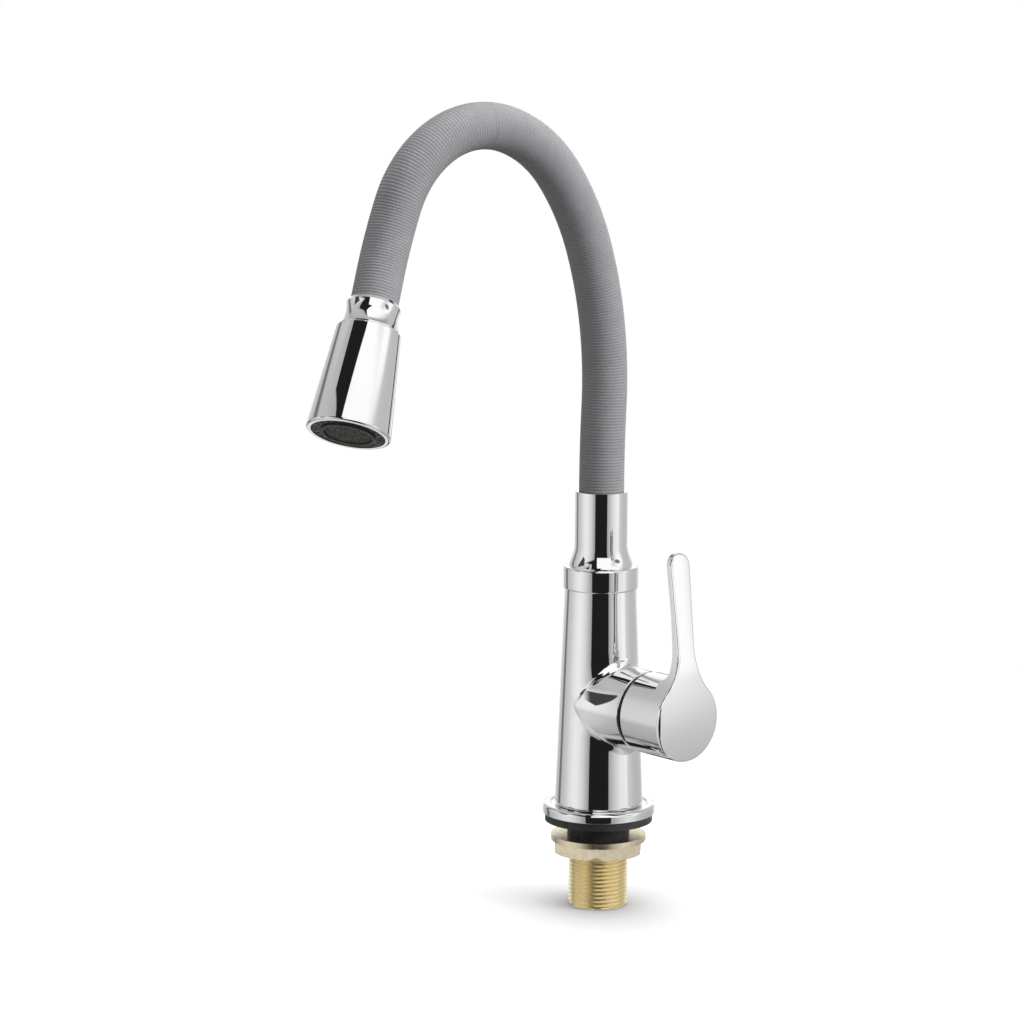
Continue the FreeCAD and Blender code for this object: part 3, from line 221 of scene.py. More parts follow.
# The G 3/4 thread of the shank: its flat root and its flank are shares of half its pitch, and it runs
# out into the plain shank over a short length above its end
THREAD_RADIUS = 0.01322
THREAD_PITCH = 0.0254 / 14
THREAD_DEPTH = 0.64 * THREAD_PITCH
THREAD_ROOT_SHARE, THREAD_FLANK_SHARE = 0.10, 0.78
THREAD_END = -0.0022
THREAD_RUN_OUT = 0.0012
THREAD_ROWS = 12
THREAD_SIDES = 128
THREAD_SHARP_ANGLE = 50.0

# The rest of the shank: its foot, a little smaller than the thread's root, its shoulder and spigot, and
# its bore with a small chamfer at the foot
ROOT_CLEARANCE = 0.00002
SHANK_FOOT = -0.0389
SHANK_FOOT_RADIUS = THREAD_RADIUS - THREAD_DEPTH - ROOT_CLEARANCE
SHANK_SHOULDER = 0.0035
SHANK_TOP = 0.0165
SPIGOT_RADIUS = 0.011
BORE_RADIUS = 0.0085
BORE_EDGE = 0.0004

# The aerator's woven wire mesh: its place past the head's rim, and two layers, each with its depth and turn
MESH_RADIUS = 0.0100
MESH_PLACE = 0.0573
MESH_PITCH = 0.00105
MESH_LAYERS = ((0.0, 20.0), (-0.0008, 62.0))
WIRE_RADIUS = 0.00016
WIRE_SIDES = 6
WIRE_STEPS_A_PITCH = 4

# The floor: its half size, its pale clouds, its glow and plain shares to the camera, its grey for light
# that goes on to the tap, the painted shadow under the shank where ambient occlusion dims the glow, and
# where it fades to the white behind
FLOOR_HEIGHT = SHANK_FOOT
FLOOR_REACH = 6.0
FLOOR_PALE = (0.99, 0.99, 0.995, 1.0)
FLOOR_CLOUDS = 3.0
FLOOR_GLOW = 0.80
FLOOR_PLAIN = 0.25
FLOOR_UNSEEN = 0.16
FLOOR_PAINTED_SHADE_REACH = 0.06
FLOOR_PAINTED_SHADE_POWER = 1.5
FLOOR_PAINTED_SHADE_SAMPLES = 16
FLOOR_FADE_START, FLOOR_FADE_END = 0.22, 0.60

# Points of a piece closer than this are one point
MERGE_DISTANCE = 1e-6

BLACK = (0.0, 0.0, 0.0, 1.0)
WHITE = (1.0, 1.0, 1.0, 1.0)

nodes = frame["nodes"]
scene = bpy.context.scene
scene.view_settings.view_transform = "Standard"


# Camera and shader helpers

def make_camera():
    """The photograph's view as a level heading, a pitch and a small roll."""
    yaw, pitch = math.radians(CAMERA_YAW), math.radians(CAMERA_PITCH)
    roll, turn = math.radians(CAMERA_ROLL), math.radians(CAMERA_AZIMUTH)
    heading = Vector((math.sin(yaw) * math.cos(pitch), math.cos(yaw) * math.cos(pitch), -math.sin(pitch)))
    level = Vector((math.cos(yaw), -math.sin(yaw), 0.0))
    up = level.cross(heading)
    right = math.cos(roll) * level + math.sin(roll) * up
    top = -math.sin(roll) * level + math.cos(roll) * up
    spin = Matrix.Rotation(turn, 3, "Z")
    basis = Matrix([spin @ right, spin @ top, spin @ -heading]).transposed()
    data = bpy.data.cameras.new("camera")
    data.lens = LENS
    data.sensor_width = SENSOR
    camera = bpy.data.objects.new("camera", data)
    camera.matrix_world = Matrix.Translation(CAMERA_PLACE) @ basis.to_4x4()
    scene.collection.objects.link(camera)
    scene.camera = camera


class Tree:
    """Short names for the nodes that the materials and the world are made of."""

    def __init__(self, tree):
        self.tree = tree

    def node(self, kind, **settings):
        made = self.tree.nodes.new(kind)
        for name, value in settings.items():
            setattr(made, name, value)
        return made

    def put(self, socket, value):
        """Links a socket to the input, or sets the input to a plain value."""
        if isinstance(value, bpy.types.NodeSocket):
            self.tree.links.new(value, socket)
        else:
            socket.default_value = value

    def made(self, kind, *values, **settings):
        """The first output of a new node whose inputs take the values in their order."""
        node = self.node(kind, **settings)
        for socket, value in zip(node.inputs, values):
            self.put(socket, value)
        return node.outputs[0]

    def math(self, operation, *values):
        return self.made("ShaderNodeMath", *values, operation=operation)

    def plus(self, first, second):
        return self.math("ADD", first, second)

    def minus(self, first, second):
        return self.math("SUBTRACT", first, second)

    def times(self, first, *others):
        for other in others:
            first = self.math("MULTIPLY", first, other)
        return first

    def span(self, value, low, high, to_low=0.0, to_high=1.0):
        """A smooth step from one value at low to another at high."""
        return self.made("ShaderNodeMapRange", value, low, high, to_low, to_high,
                         interpolation_type="SMOOTHSTEP")

    def line(self, value, low, high, to_low, to_high):
        """A straight line from one value at low to another at high, level beyond them."""
        return self.made("ShaderNodeMapRange", value, low, high, to_low, to_high,
                         interpolation_type="LINEAR")

    def past(self, value, edge, soft=CARD_EDGE):
        """1 beyond an edge and 0 short of it, soft across it."""
        return self.span(value, edge - soft, edge + soft)

    def short_of(self, value, edge, soft=CARD_EDGE):
        """1 short of an edge and 0 beyond it, soft across it."""
        return self.span(value, edge + soft, edge - soft)

    def vector(self, operation, *values):
        return self.made("ShaderNodeVectorMath", *values, operation=operation)

    def measure(self, operation, *values):
        """The number that a vector operation gives, such as a length."""
        node = self.node("ShaderNodeVectorMath", operation=operation)
        for socket, value in zip(node.inputs, values):
            self.put(socket, value)
        return node.outputs["Value"]

    def scaled(self, vector, length):
        node = self.node("ShaderNodeVectorMath", operation="SCALE")
        self.put(node.inputs[0], vector)
        self.put(node.inputs["Scale"], length)
        return node.outputs[0]

    def parts(self, vector):
        node = self.node("ShaderNodeSeparateXYZ")
        self.put(node.inputs[0], vector)
        return node.outputs

    def join(self, x, y, z):
        return self.made("ShaderNodeCombineXYZ", x, y, z)

    def to_world(self, vector, kind):
        """A vector or a normal of the piece's own frame in the world's."""
        return self.made("ShaderNodeVectorTransform", vector, vector_type=kind,
                         convert_from="OBJECT", convert_to="WORLD")

    def own_place(self):
        return self.node("ShaderNodeTexCoord").outputs["Object"]

    def normal(self):
        return self.node("ShaderNodeNewGeometry").outputs["Normal"]

    def noise(self, place, scale, detail):
        node = self.node("ShaderNodeTexNoise")
        self.put(node.inputs["Vector"], place)
        self.put(node.inputs["Scale"], scale)
        self.put(node.inputs["Detail"], detail)
        return node.outputs[0]

    def ramp(self, value, stops):
        node = self.node("ShaderNodeValToRGB")
        entries = node.color_ramp.elements
        while len(entries) < len(stops):
            entries.new(0.5)
        for entry, (place, colour) in zip(entries, stops):
            entry.position = place
            entry.color = colour
        self.put(node.inputs[0], value)
        return node.outputs[0]

    def mix(self, share, first, second):
        """The first colour where the share is 0, the second where it is 1."""
        node = self.node("ShaderNodeMix", data_type="RGBA")
        self.put(node.inputs["Factor"], share)
        self.put(node.inputs[6], first)
        self.put(node.inputs[7], second)
        return node.outputs[2]

    def mix_shaders(self, share, first, second):
        return self.made("ShaderNodeMixShader", share, first, second)


def linear(level):
    """An sRGB level from 0 to 255 as linear light."""
    share = level / 255
    return share / 12.92 if share <= 0.04045 else ((share + 0.055) / 1.055) ** 2.4


def grey(level):
    light = linear(level)
    return (light, light, light, 1.0)


# Studio

def oval(t, degrees, height, bearing, middle, half_width, half_height, faded, full):
    """1 inside an oval card and 0 outside it, soft between two squared shares of its half sizes."""
    across = t.math("DIVIDE", t.minus(degrees, bearing), half_width)
    upward = t.math("DIVIDE", t.minus(height, middle), half_height)
    outward = t.plus(t.times(across, across), t.times(upward, upward))
    return t.span(outward, faded, full)


def add_side_card(t, degrees, height, colour):
    """The dark card to the left, with a slanting left edge and a slanting foot."""
    left = t.plus(t.times(height, SIDE_CARD_LEFT_SLANT), SIDE_CARD_LEFT)
    left = t.math("MAXIMUM", left, SIDE_CARD_FARTHEST)
    foot = t.plus(t.times(degrees, SIDE_CARD_FOOT_SLANT), SIDE_CARD_FOOT)
    card = t.times(
        t.past(t.minus(degrees, left), 0.0),
        t.past(t.minus(height, foot), 0.0),
        t.short_of(degrees, SIDE_CARD_RIGHT, SIDE_CARD_RIGHT_EDGE),
        t.short_of(height, SIDE_CARD_TOP))
    return t.mix(card, colour, grey(SIDE_CARD_LEVEL))


def add_window_and_gap(t, degrees, height, colour):
    """The dark gap in front of the tap, with the bright window in it and the dark wedge left of that."""
    window = t.times(
        t.past(height, WINDOW_LOW),
        t.short_of(height, WINDOW_HIGH),
        t.past(degrees, WINDOW_LEFT))
    bright = t.times(window, t.short_of(degrees, WINDOW_RIGHT, WINDOW_RIGHT_EDGE))
    colour = t.mix(bright, colour, grey(BRIGHT_LEVEL))

    half_width = t.times(t.minus(degrees, WEDGE_TIP), WEDGE_SLOPE)
    off = t.math("ABSOLUTE", t.minus(height, WEDGE_HEIGHT))
    wedge = t.times(t.past(t.minus(half_width, off), 0.0, WEDGE_EDGE), t.short_of(degrees, WINDOW_LEFT))
    colour = t.mix(wedge, colour, grey(GAP_LEVEL))

    def edge(places):
        low, middle, high = GAP_HEIGHTS
        lower = t.line(height, low, middle, places[0], places[1])
        return t.plus(lower, t.line(height, middle, high, 0.0, places[2] - places[1]))

    gap = t.times(
        t.past(t.minus(degrees, edge(GAP_LEFT)), 0.0),
        t.past(t.minus(edge(GAP_RIGHT), degrees), 0.0),
        t.minus(1.0, window))
    return t.mix(gap, colour, grey(GAP_LEVEL))


def make_world():
    """White for the camera, soft white for light, and the studio's cards and dark gaps for mirrors."""
    world = bpy.data.worlds.new("studio")
    world.use_nodes = True
    world.node_tree.nodes.clear()
    scene.world = world
    t = Tree(world.node_tree)
    x, y, z = t.parts(t.node("ShaderNodeTexCoord").outputs["Generated"])
    # A share of the full turn that is 0.5 towards the camera, and the bearing that it stands for
    turned = t.plus(t.math("DEGREES", t.math("ARCTAN2", y, x)), 540.0 - CAMERA_BEARING)
    share = t.math("DIVIDE", t.math("MODULO", turned, 360.0), 360.0)
    degrees = t.minus(t.times(share, 360.0), 180.0)
    height = t.math("DEGREES", t.math("ARCSINE", z))

    def walls(table):
        return t.ramp(share, [((bearing + 180) / 360, grey(level)) for bearing, level in table])

    colour = t.mix(t.span(height, HIGH_FROM, HIGH_FULL), walls(STUDIO_LEVEL), walls(STUDIO_HIGH))
    back = t.times(
        t.span(t.math("ABSOLUTE", degrees), BACK_CARD_START, BACK_CARD_FULL),
        t.span(height, BACK_CARD_FADED, BACK_CARD_TOP))
    colour = t.mix(back, colour, grey(BACK_CARD_LEVEL))
    colour = t.mix(t.span(height, DIM_FROM, DIM_FULL, 1.0, DIM_SHARE), BLACK, colour)
    card = oval(t, degrees, height, CARD_BEARING, CARD_HEIGHT, CARD_HALF_WIDTH, CARD_HALF_HEIGHT,
                CARD_FADED, CARD_FULL)
    colour = t.mix(card, colour, grey(BRIGHT_LEVEL))
    mark = oval(t, degrees, height, MARK_BEARING, MARK_HEIGHT, MARK_HALF_WIDTH, MARK_HALF_HEIGHT,
                MARK_FADED, MARK_FULL)
    colour = t.mix(mark, colour, grey(MARK_LEVEL))
    colour = add_side_card(t, degrees, height, colour)
    colour = add_window_and_gap(t, degrees, height, colour)

    mirrored = t.made("ShaderNodeBackground", colour, 1.0 / CHROME_SHARE)
    ambient = t.span(height, AMBIENT_FROM, AMBIENT_TO, AMBIENT_LOW, AMBIENT_HIGH)
    plain = t.made("ShaderNodeBackground", WHITE, ambient)
    shown = t.made("ShaderNodeBackground", WHITE, 1.0)
    path = t.node("ShaderNodeLightPath")
    unseen = t.mix_shaders(path.outputs["Is Glossy Ray"], plain, mirrored)
    whole = t.mix_shaders(path.outputs["Is Camera Ray"], unseen, shown)
    t.put(t.node("ShaderNodeOutputWorld").inputs[0], whole)


def make_lamp(name, place, size, power):
    """A round soft lamp that mirrors and the camera don't see."""
    data = bpy.data.lights.new(name, "AREA")
    data.shape = "DISK"
    data.size = size
    data.energy = power
    lamp = bpy.data.objects.new(name, data)
    lamp.location = place
    lamp.rotation_mode = "QUATERNION"
    lamp.rotation_quaternion = (LAMP_AIM - Vector(place)).to_track_quat("-Z", "Y")
    lamp.visible_glossy = False
    lamp.visible_camera = False
    scene.collection.objects.link(lamp)


# The hose's line, which ends in the spray head

def along(section, distance):
    """The point and direction at a distance along one section."""
    start, direction, length, radius, inward = section
    if radius == 0:
        return start + direction * distance, direction
    angle = distance / radius
    place = start + direction * (radius * math.sin(angle)) + inward * (radius * (1 - math.cos(angle)))
    return place, direction * math.cos(angle) + inward * math.sin(angle)


def hose_sections():
    """Sections of start, direction, length, radius and inward normal, with radius 0 for a straight."""
    place = Vector((0.0, 0.0, HOSE_FOOT))
    heading = Vector((0.0, 0.0, 1.0))
    rise = RIM_DISTANCE + HOSE_RISE
    sections = [(place, heading, rise, 0.0, Vector((0.0, -1.0, 0.0)))]
    place = place + heading * rise
    for turn in HOSE_BEND_TURNS:
        radius = HOSE_BEND_LENGTH / math.radians(turn)
        inward = Vector((1.0, 0.0, 0.0)).cross(heading)
        sections.append((place, heading, HOSE_BEND_LENGTH, radius, inward))
        place, heading = along(sections[-1], HOSE_BEND_LENGTH)
    inward = (HEAD_AXIS - heading * heading.dot(HEAD_AXIS)).normalized()
    length = HOSE_END_RADIUS * heading.angle(HEAD_AXIS)
    sections.append((place, heading, length, HOSE_END_RADIUS, inward))
    place, heading = along(sections[-1], length)
    sections.append((place, heading, HOSE_END_STRAIGHT, 0.0, inward))
    return sections


SECTIONS = hose_sections()
HOSE_LENGTH = sum(section[2] for section in SECTIONS)


def hose_at(distance):
    """The point and direction of the centre line at a distance from the hose's foot."""
    for section in SECTIONS:
        if distance <= section[2] or section is SECTIONS[-1]:
            return along(section, distance)
        distance = distance - section[2]


HEAD_RIM_PLACE = hose_at(HOSE_LENGTH - HOSE_IN_NECK)[0]


# Materials: one for each slot of the record, each with its own fine structure

def surface(name, base, rough, metal=0.0, base_drift=0.05, rough_drift=0.25, drift_scale=60.0,
            bump=0.0, bump_scale=400.0, specular=0.5):
    """A Principled surface whose colour and roughness drift a little, with a fine bump."""
    material = bpy.data.materials.new(name)
    material.use_nodes = True
    material.node_tree.nodes.clear()
    t = Tree(material.node_tree)
    cloud = t.noise(t.own_place(), drift_scale, DRIFT_DETAIL)
    fine = t.noise(t.own_place(), bump_scale, BUMP_DETAIL)
    dark = tuple(share * (1 - base_drift) for share in base) + (1.0,)
    light = tuple(min(1.0, share * (1 + base_drift)) for share in base) + (1.0,)
    roughness = t.span(fine, NOISE_LOW, NOISE_HIGH, rough * (1 - rough_drift), rough * (1 + rough_drift))
    shader = t.node("ShaderNodeBsdfPrincipled")
    t.put(shader.inputs["Base Color"], t.ramp(cloud, [(NOISE_LOW, dark), (NOISE_HIGH, light)]))
    t.put(shader.inputs["Metallic"], metal)
    t.put(shader.inputs["Specular IOR Level"], specular)
    t.put(shader.inputs["Roughness"], roughness)
    if bump:
        lift = t.node("ShaderNodeBump")
        t.put(lift.inputs["Strength"], 1.0)
        t.put(lift.inputs["Distance"], bump)
        t.put(lift.inputs["Height"], fine)
        t.put(shader.inputs["Normal"], lift.outputs[0])
    t.put(t.node("ShaderNodeOutputMaterial").inputs[0], shader.outputs[0])
    return material


def chrome(name):
    return surface(name, CHROME_COLOUR, CHROME_ROUGHNESS, metal=1.0, base_drift=CHROME_DRIFT)


def bent_chrome(name, bend):
    """Chrome whose polish has a normal of its own, which bend gives."""
    material = chrome(name)
    t = Tree(material.node_tree)
    shader = next(node for node in t.tree.nodes if node.type == "BSDF_PRINCIPLED")
    t.put(shader.inputs["Normal"], t.vector("NORMALIZE", bend(t)))
    return material


def leaning(lean):
    """A bend that leans the surface by a small vector of the piece's own frame, laid along the surface."""
    def bend(t):
        tilt = t.to_world(lean(t, t.own_place()), "VECTOR")
        normal = t.normal()
        inward = t.measure("DOT_PRODUCT", tilt, normal)
        level = t.vector("SUBTRACT", tilt, t.scaled(normal, inward))
        return t.vector("ADD", normal, level)
    return bend


def lever_lean(t, place):
    """The flat face is slightly round, less on the disc, more across the arm and most at its left rim."""
    x, y, z = t.parts(place)
    above = t.minus(z, LEVER_CENTRE)
    cross = t.span(above, ARM_FOOT, ARM_FULL, 1 / FACE_CROSS_RADIUS, 1 / ARM_DOME_RADIUS)
    rim = t.times(t.line(y, RIM_START, RIM_END, 0.0, RIM_SLOPE), t.span(x, RIM_BACK, RIM_FRONT))
    upward = t.times(t.math("MINIMUM", above, FACE_REACH), 1 / FACE_DOME_RADIUS)
    return t.join(0.0, t.minus(t.times(y, cross), rim), upward)


def bell_lean(t, place):
    """The bell's wall is slightly hollow from its top to its mouth."""
    down = t.measure("DOT_PRODUCT", place, HEAD_AXIS)
    past = t.minus(down, HEAD_RIM_PLACE.dot(HEAD_AXIS) + BELL_MIDDLE)
    return t.scaled(HEAD_AXIS, t.times(past, -1 / BELL_FLARE_RADIUS))


def boss_lean(t, place):
    """The boss opens slightly towards the column, outside the column's own wall."""
    x, y, z = t.parts(place)
    from_axis = t.math("SQRT", t.plus(t.times(x, x), t.times(y, y)))
    wall = t.line(z, COLUMN_LOW, COLUMN_HIGH, COLUMN_LOW_RADIUS, COLUMN_HIGH_RADIUS)
    outside = t.span(t.minus(from_axis, wall), WALL_START, WALL_END)
    opening = t.line(x, BOSS_FLARE_START, BOSS_FLARE_END, math.tan(math.radians(BOSS_FLARE)), 0.0)
    return t.join(t.times(opening, outside), 0.0, 0.0)


def socket_bend(t):
    """The socket's flare is polished round, from the straight wall to its foot."""
    x, y, z = t.parts(t.own_place())
    down = t.line(z, SOCKET_FLARE_TOP, SOCKET_FLARE_FOOT, 0.0, 1.0)
    slope = t.times(down, down, SOCKET_FLARE_SLOPE)
    outward = t.vector("NORMALIZE", t.join(x, y, 0.0))
    flare = t.vector("NORMALIZE", t.vector("ADD", outward, t.join(0.0, 0.0, slope)))
    share = t.span(z, SOCKET_FLARE_TOP + SOCKET_FLARE_EDGE, SOCKET_FLARE_TOP)
    straight = t.scaled(t.normal(), t.minus(1.0, share))
    return t.vector("ADD", straight, t.scaled(t.to_world(flare, "NORMAL"), share))


MATERIALS = {
    "chrome": chrome("chrome"),
    "grey_sleeve": surface("grey_sleeve", (0.228, 0.230, 0.238), 0.55, drift_scale=140.0,
                           bump=0.00002, bump_scale=900.0, specular=0.30),
    "brass": surface("brass", (0.97, 0.83, 0.53), 0.30, metal=1.0, base_drift=0.04, rough_drift=0.10,
                     bump_scale=900.0),
    "nickel_brass": surface("nickel_brass", (0.78, 0.68, 0.50), 0.30, metal=1.0, base_drift=0.10,
                            rough_drift=0.10, drift_scale=500.0, bump=0.00002, bump_scale=1500.0),
    "black_rubber": surface("black_rubber", (0.020, 0.020, 0.021), 0.5, base_drift=0.2, bump=0.00003),
    "black_plastic": surface("black_plastic", (0.020, 0.020, 0.021), 0.42, base_drift=0.2, bump=0.00001,
                             specular=0.3),
    "white_plastic": surface("white_plastic", (0.82, 0.82, 0.80), 0.35),
    "grey_plastic": surface("grey_plastic", (0.42, 0.43, 0.44), 0.35),
    "clear_tube": surface("clear_tube", (0.74, 0.76, 0.78), 0.3),
    "steel": surface("steel", (0.62, 0.63, 0.64), 0.25, metal=1.0),
    "core_metal": surface("core_metal", (0.60, 0.60, 0.61), 0.3, metal=1.0),
    "ceramic": surface("ceramic", (0.86, 0.85, 0.82), 0.12),
}

# Nodes whose finish differs from the rest of their slot
FINISH = {
    "lever_handle": bent_chrome("lever_chrome", leaning(lever_lean)),
    "body_casting": bent_chrome("casting_chrome", leaning(boss_lean)),
    "spray_bell": bent_chrome("bell_chrome", leaning(bell_lean)),
    "spout_socket": bent_chrome("socket_chrome", socket_bend),
    "aerator_housing": surface("aerator_plastic", (0.055, 0.055, 0.046), 0.45, base_drift=0.1, specular=0.35),
    "water_guide": surface("guide_plastic", (0.03, 0.03, 0.028), 0.5, base_drift=0.2),
    "diverter_stem": surface("stem_brass", (0.20, 0.17, 0.12), 0.5, metal=0.6, base_drift=0.1),
}
MESH_METAL = surface("mesh_metal", (0.20, 0.20, 0.17), 0.4, metal=0.7, base_drift=0.25, drift_scale=300.0)
SLOTS = {part["node"]: part["material_slot"] for part in frame["record"]["subparts"]}


def finish_nodes():
    """Each node of the frame gets its own finish or the one of its slot."""
    for name, slot in SLOTS.items():
        materials = nodes[name].data.materials
        materials.clear()
        materials.append(FINISH.get(name) or MATERIALS[slot])


# Pieces that show more than their solids: hose, thread and the aerator's wire mesh

def add_piece(name, points, faces, material):
    """A smooth shaded mesh object from points and faces, with doubled points merged."""
    data = bpy.data.meshes.new(name)
    data.from_pydata([tuple(point) for point in points], [], faces)
    shape = bmesh.new()
    shape.from_mesh(data)
    bmesh.ops.remove_doubles(shape, verts=shape.verts, dist=MERGE_DISTANCE)
    bmesh.ops.recalc_face_normals(shape, faces=shape.faces)
    shape.to_mesh(data)
    shape.free()
    data.polygons.foreach_set("use_smooth", [True] * len(data.polygons))
    data.materials.append(material)
    piece = bpy.data.objects.new(name, data)
    scene.collection.objects.link(piece)
    return piece


def lattice(points, faces, rows, closed=True):
    """Adds rings of equal size as a skin of quads to the lists."""
    count = len(rows[0])
    first = len(points)
    for row in rows:
        points.extend(row)
    for line in range(len(rows) - 1):
        for index in range(count if closed else count - 1):
            here = first + line * count + index
            beside = first + line * count + (index + 1) % count
            faces.append((here, beside, beside + count, here + count))


def round_turns(count):
    """Angles of the sides of a ring, in radians."""
    return [2 * math.pi * index / count for index in range(count)]


def sharpen(piece, degrees):
    """Keeps edges that turn more than an angle sharp in the smooth shading."""
    shape = bmesh.new()
    shape.from_mesh(piece.data)
    for edge in shape.edges:
        turns_hard = len(edge.link_faces) == 2 and edge.calc_face_angle(0.0) > math.radians(degrees)
        edge.smooth = not turns_hard
    shape.to_mesh(piece.data)
    shape.free()


def square_to(heading):
    """Two directions square to a heading and to each other, the first as near to +X as can be."""
    aside = Vector((1.0, 0.0, 0.0))
    aside = (aside - heading * aside.dot(heading)).normalized()
    return aside, heading.cross(aside)


def hose_ring(distance, radius, count):
    """Points of a circle square to the hose, counted from the X side."""
    place, heading = hose_at(distance)
    aside, other = square_to(heading)
    return [place + aside * (radius * math.cos(a)) + other * (radius * math.sin(a))
            for a in round_turns(count)]


def rib_rings(begin, end):
    """Distance and radius of the sleeve's rings: a round backed rib, then a narrow groove, all along."""
    pitch = (HOSE_LENGTH - RIM_DISTANCE - HOSE_IN_NECK) / RIBS_SHOWN
    first = round((begin - RIM_DISTANCE) / pitch)
    last = round((end - RIM_DISTANCE) / pitch)
    rings = []
    for rib in range(first, last):
        foot = RIM_DISTANCE + rib * pitch
        for pitch_share, depth_share in RIB_PROFILE:
            rings.append((foot + pitch_share * pitch, HOSE_RADIUS - depth_share * RIB_DEPTH))
    rings.append((RIM_DISTANCE + last * pitch, HOSE_RADIUS - RIB_DEPTH))
    return [ring for ring in rings if 0 <= ring[0] <= HOSE_LENGTH]


def tube_rings(begin, end):
    """Distance and radius of the plain tube's rings."""
    steps = round((end - begin) / TUBE_STEP)
    return [(begin + (end - begin) * step / steps, TUBE_RADIUS) for step in range(steps + 1)]


def make_bending(name, rings, count, slot):
    """One stretch of hose or tube along the hose's line, running across one joint."""
    points, faces = [], []
    lattice(points, faces, [hose_ring(distance, radius, count) for distance, radius in rings])
    piece = add_piece(name, points, faces, MATERIALS[slot])
    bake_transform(piece)
    return piece


def make_hose():
    """Three stretches of sleeve and of water tube, each across one of the bending places."""
    cuts = [RIM_DISTANCE + place for place in HOSE_CUTS]
    sleeve_ends = [0.0] + cuts + [HOSE_LENGTH]
    tube_ends = [TUBE_INSET] + cuts + [HOSE_LENGTH - TUBE_INSET]
    sleeves, tubes = [], []
    for index, bend in enumerate(BENDS):
        number = str(index + 1)
        rings = rib_rings(sleeve_ends[index], sleeve_ends[index + 1])
        sleeves.append(make_bending(
            "hose_ribs_" + number, rings, SLEEVE_SIDES, "grey_sleeve"))
        rings = tube_rings(tube_ends[index], tube_ends[index + 1])
        tubes.append(make_bending(
            "inner_tube_" + number, rings, TUBE_SIDES, "clear_tube"))
    for piece in sleeves:
        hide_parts("hose_sleeve")
    for piece in tubes:
        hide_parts("water_tube")


def thread_radius(height, phase):
    """Radius of the thread, flat at root and crest, chamfered at its foot and run out near its end."""
    rise = 1 - abs(2 * (phase % 1.0) - 1)
    rise = min(1.0, max(0.0, (rise - THREAD_ROOT_SHARE) / THREAD_FLANK_SHARE))
    run_out = min(1.0, max(0.0, (height - THREAD_END) / THREAD_RUN_OUT))
    rise = max(rise, run_out)
    chamfer = SHANK_FOOT_RADIUS + (height - SHANK_FOOT)
    return min(THREAD_RADIUS - THREAD_DEPTH * (1 - rise), chamfer)


def circle(radius, height):
    """A ring about the shank's axis whose last point lies on its first, as in the rows of the helix."""
    turns = [2 * math.pi * side / THREAD_SIDES for side in range(THREAD_SIDES + 1)]
    return [(radius * math.cos(a), radius * math.sin(a), height) for a in turns]


def helix_row(line):
    """One turn of the thread's skin, held between the shank's foot and its shoulder, which it folds onto."""
    row = []
    for side in range(THREAD_SIDES + 1):
        share = side / THREAD_SIDES
        height = SHANK_FOOT + THREAD_PITCH * (line / THREAD_ROWS + share - 1)
        height = min(SHANK_SHOULDER, max(SHANK_FOOT, height))
        radius = thread_radius(height, (height - SHANK_FOOT) / THREAD_PITCH - share)
        turn = 2 * math.pi * share
        row.append((radius * math.cos(turn), radius * math.sin(turn), height))
    return row


def make_thread():
    """The shank with its thread cut as a helix."""
    points, faces = [], []
    lines = round((SHANK_SHOULDER - SHANK_FOOT) / THREAD_PITCH * THREAD_ROWS) + THREAD_ROWS
    lattice(points, faces, [helix_row(line) for line in range(-1, lines + 2)], closed=False)
    lattice(points, faces, [
        circle(SHANK_FOOT_RADIUS, SHANK_FOOT),
        circle(BORE_RADIUS + BORE_EDGE, SHANK_FOOT),
        circle(BORE_RADIUS, SHANK_FOOT + BORE_EDGE),
        circle(BORE_RADIUS, SHANK_TOP),
        circle(SPIGOT_RADIUS, SHANK_TOP),
        circle(SPIGOT_RADIUS, SHANK_SHOULDER),
        circle(THREAD_RADIUS, SHANK_SHOULDER),
    ], closed=False)
    piece = add_piece("shank_thread", points, faces, MATERIALS["brass"])
    sharpen(piece, THREAD_SHARP_ANGLE)
    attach(piece, "tap_body")
    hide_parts("threaded_shank")


def wire_rows(centre, run, side, offset, starts_high):
    """Rings of one wire of the mesh, which waves over and under the wires that it crosses."""
    reach = math.sqrt(max(0.0, MESH_RADIUS ** 2 - offset ** 2))
    steps = max(2, int(2 * reach / (MESH_PITCH / WIRE_STEPS_A_PITCH)))
    rows = []
    for step in range(steps + 1):
        place = -reach + 2 * reach * step / steps
        wave = WIRE_RADIUS * (1 if starts_high else -1) * math.cos(math.pi * place / MESH_PITCH)
        middle = centre + run * place + side * offset + HEAD_AXIS * wave
        rows.append([middle + side * (WIRE_RADIUS * math.cos(a)) + HEAD_AXIS * (WIRE_RADIUS * math.sin(a))
                     for a in round_turns(WIRE_SIDES)])
    return rows


def make_wire_mesh():
    """Two layers of woven wire in the aerator's mouth, turned against each other."""
    aside, other = square_to(HEAD_AXIS)
    count = int(MESH_RADIUS / MESH_PITCH)
    points, faces = [], []
    for depth, turn in MESH_LAYERS:
        centre = HEAD_RIM_PLACE + HEAD_AXIS * (MESH_PLACE + depth)
        spin = math.radians(turn)
        first = aside * math.cos(spin) + other * math.sin(spin)
        second = other * math.cos(spin) - aside * math.sin(spin)
        for way, (run, side) in enumerate(((first, second), (second, first))):
            for wire in range(-count, count + 1):
                starts_high = (wire + way) % 2 == 1
                lattice(points, faces, wire_rows(centre, run, side, wire * MESH_PITCH, starts_high))
    piece = add_piece("wire_mesh", points, faces, MESH_METAL)
    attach(piece, "spray_head")
    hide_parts("aerator_mesh")


# Floor

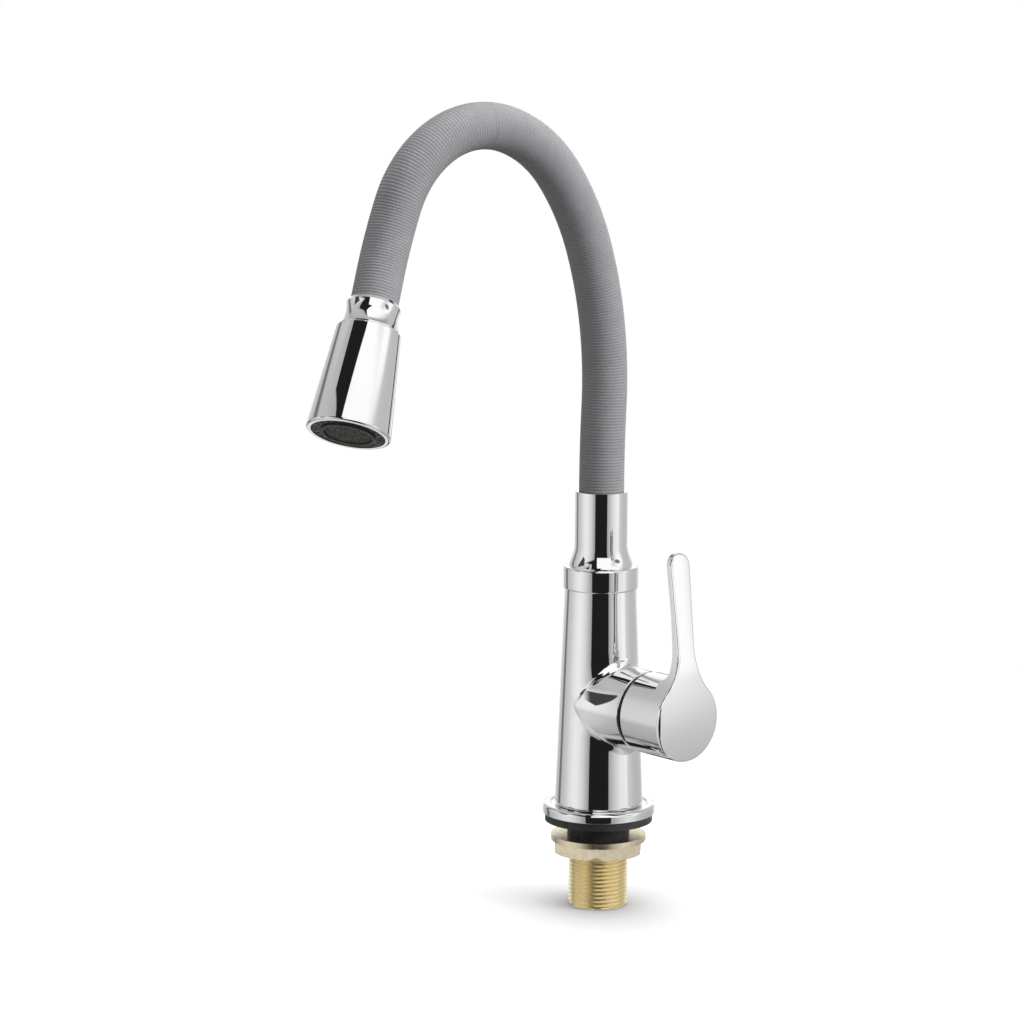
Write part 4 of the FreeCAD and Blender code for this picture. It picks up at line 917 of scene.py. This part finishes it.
def floor_material():
    """Pale and glowing white, with a painted shadow where ambient occlusion dims the glow over a plain lit
    share, dim as a source of light, and unseen by mirrors.
    """
    material = bpy.data.materials.new("floor")
    material.use_nodes = True
    material.node_tree.nodes.clear()
    t = Tree(material.node_tree)
    cloud = t.noise(t.own_place(), FLOOR_CLOUDS, FLOOR_DETAIL)
    pale = t.ramp(cloud, [(NOISE_LOW, FLOOR_PALE), (NOISE_HIGH, WHITE)])
    # Painted shade: ambient occlusion darkens the floor's glow near the tap, a soft shadow painted into its
    # colour rather than cast by the lamps
    painted_shade = t.node("ShaderNodeAmbientOcclusion", samples=FLOOR_PAINTED_SHADE_SAMPLES)
    t.put(painted_shade.inputs["Distance"], FLOOR_PAINTED_SHADE_REACH)
    painted_shade_openness = t.math("POWER", painted_shade.outputs["AO"], FLOOR_PAINTED_SHADE_POWER)
    glow = t.made("ShaderNodeEmission", pale, t.times(painted_shade_openness, FLOOR_GLOW))
    plain = t.made("ShaderNodeBsdfDiffuse", (FLOOR_PLAIN, FLOOR_PLAIN, FLOOR_PLAIN, 1.0))
    seen = t.made("ShaderNodeAddShader", plain, glow)
    dim = t.made("ShaderNodeBsdfDiffuse", (FLOOR_UNSEEN, FLOOR_UNSEEN, FLOOR_UNSEEN, 1.0))
    clear = t.made("ShaderNodeBsdfTransparent", WHITE)
    path = t.node("ShaderNodeLightPath")
    ground = t.mix_shaders(path.outputs["Is Camera Ray"], dim, seen)
    far = t.span(t.measure("LENGTH", t.own_place()), FLOOR_FADE_START, FLOOR_FADE_END)
    absent = t.math("MAXIMUM", path.outputs["Is Glossy Ray"], far)
    t.put(t.node("ShaderNodeOutputMaterial").inputs[0], t.mix_shaders(absent, ground, clear))
    return material


def make_floor():
    """A pale floor under the shank."""
    data = bpy.data.meshes.new("floor")
    signs = ((-1, -1), (1, -1), (1, 1), (-1, 1))
    corners = [(x * FLOOR_REACH, y * FLOOR_REACH, FLOOR_HEIGHT) for x, y in signs]
    data.from_pydata(corners, [], [(0, 1, 2, 3)])
    data.materials.append(floor_material())
    floor = bpy.data.objects.new("floor", data)
    scene.collection.objects.link(floor)


make_camera()
make_world()
for lamp in LAMPS:
    make_lamp(*lamp)
finish_nodes()
make_hose()
make_thread()
make_wire_mesh()
make_floor()
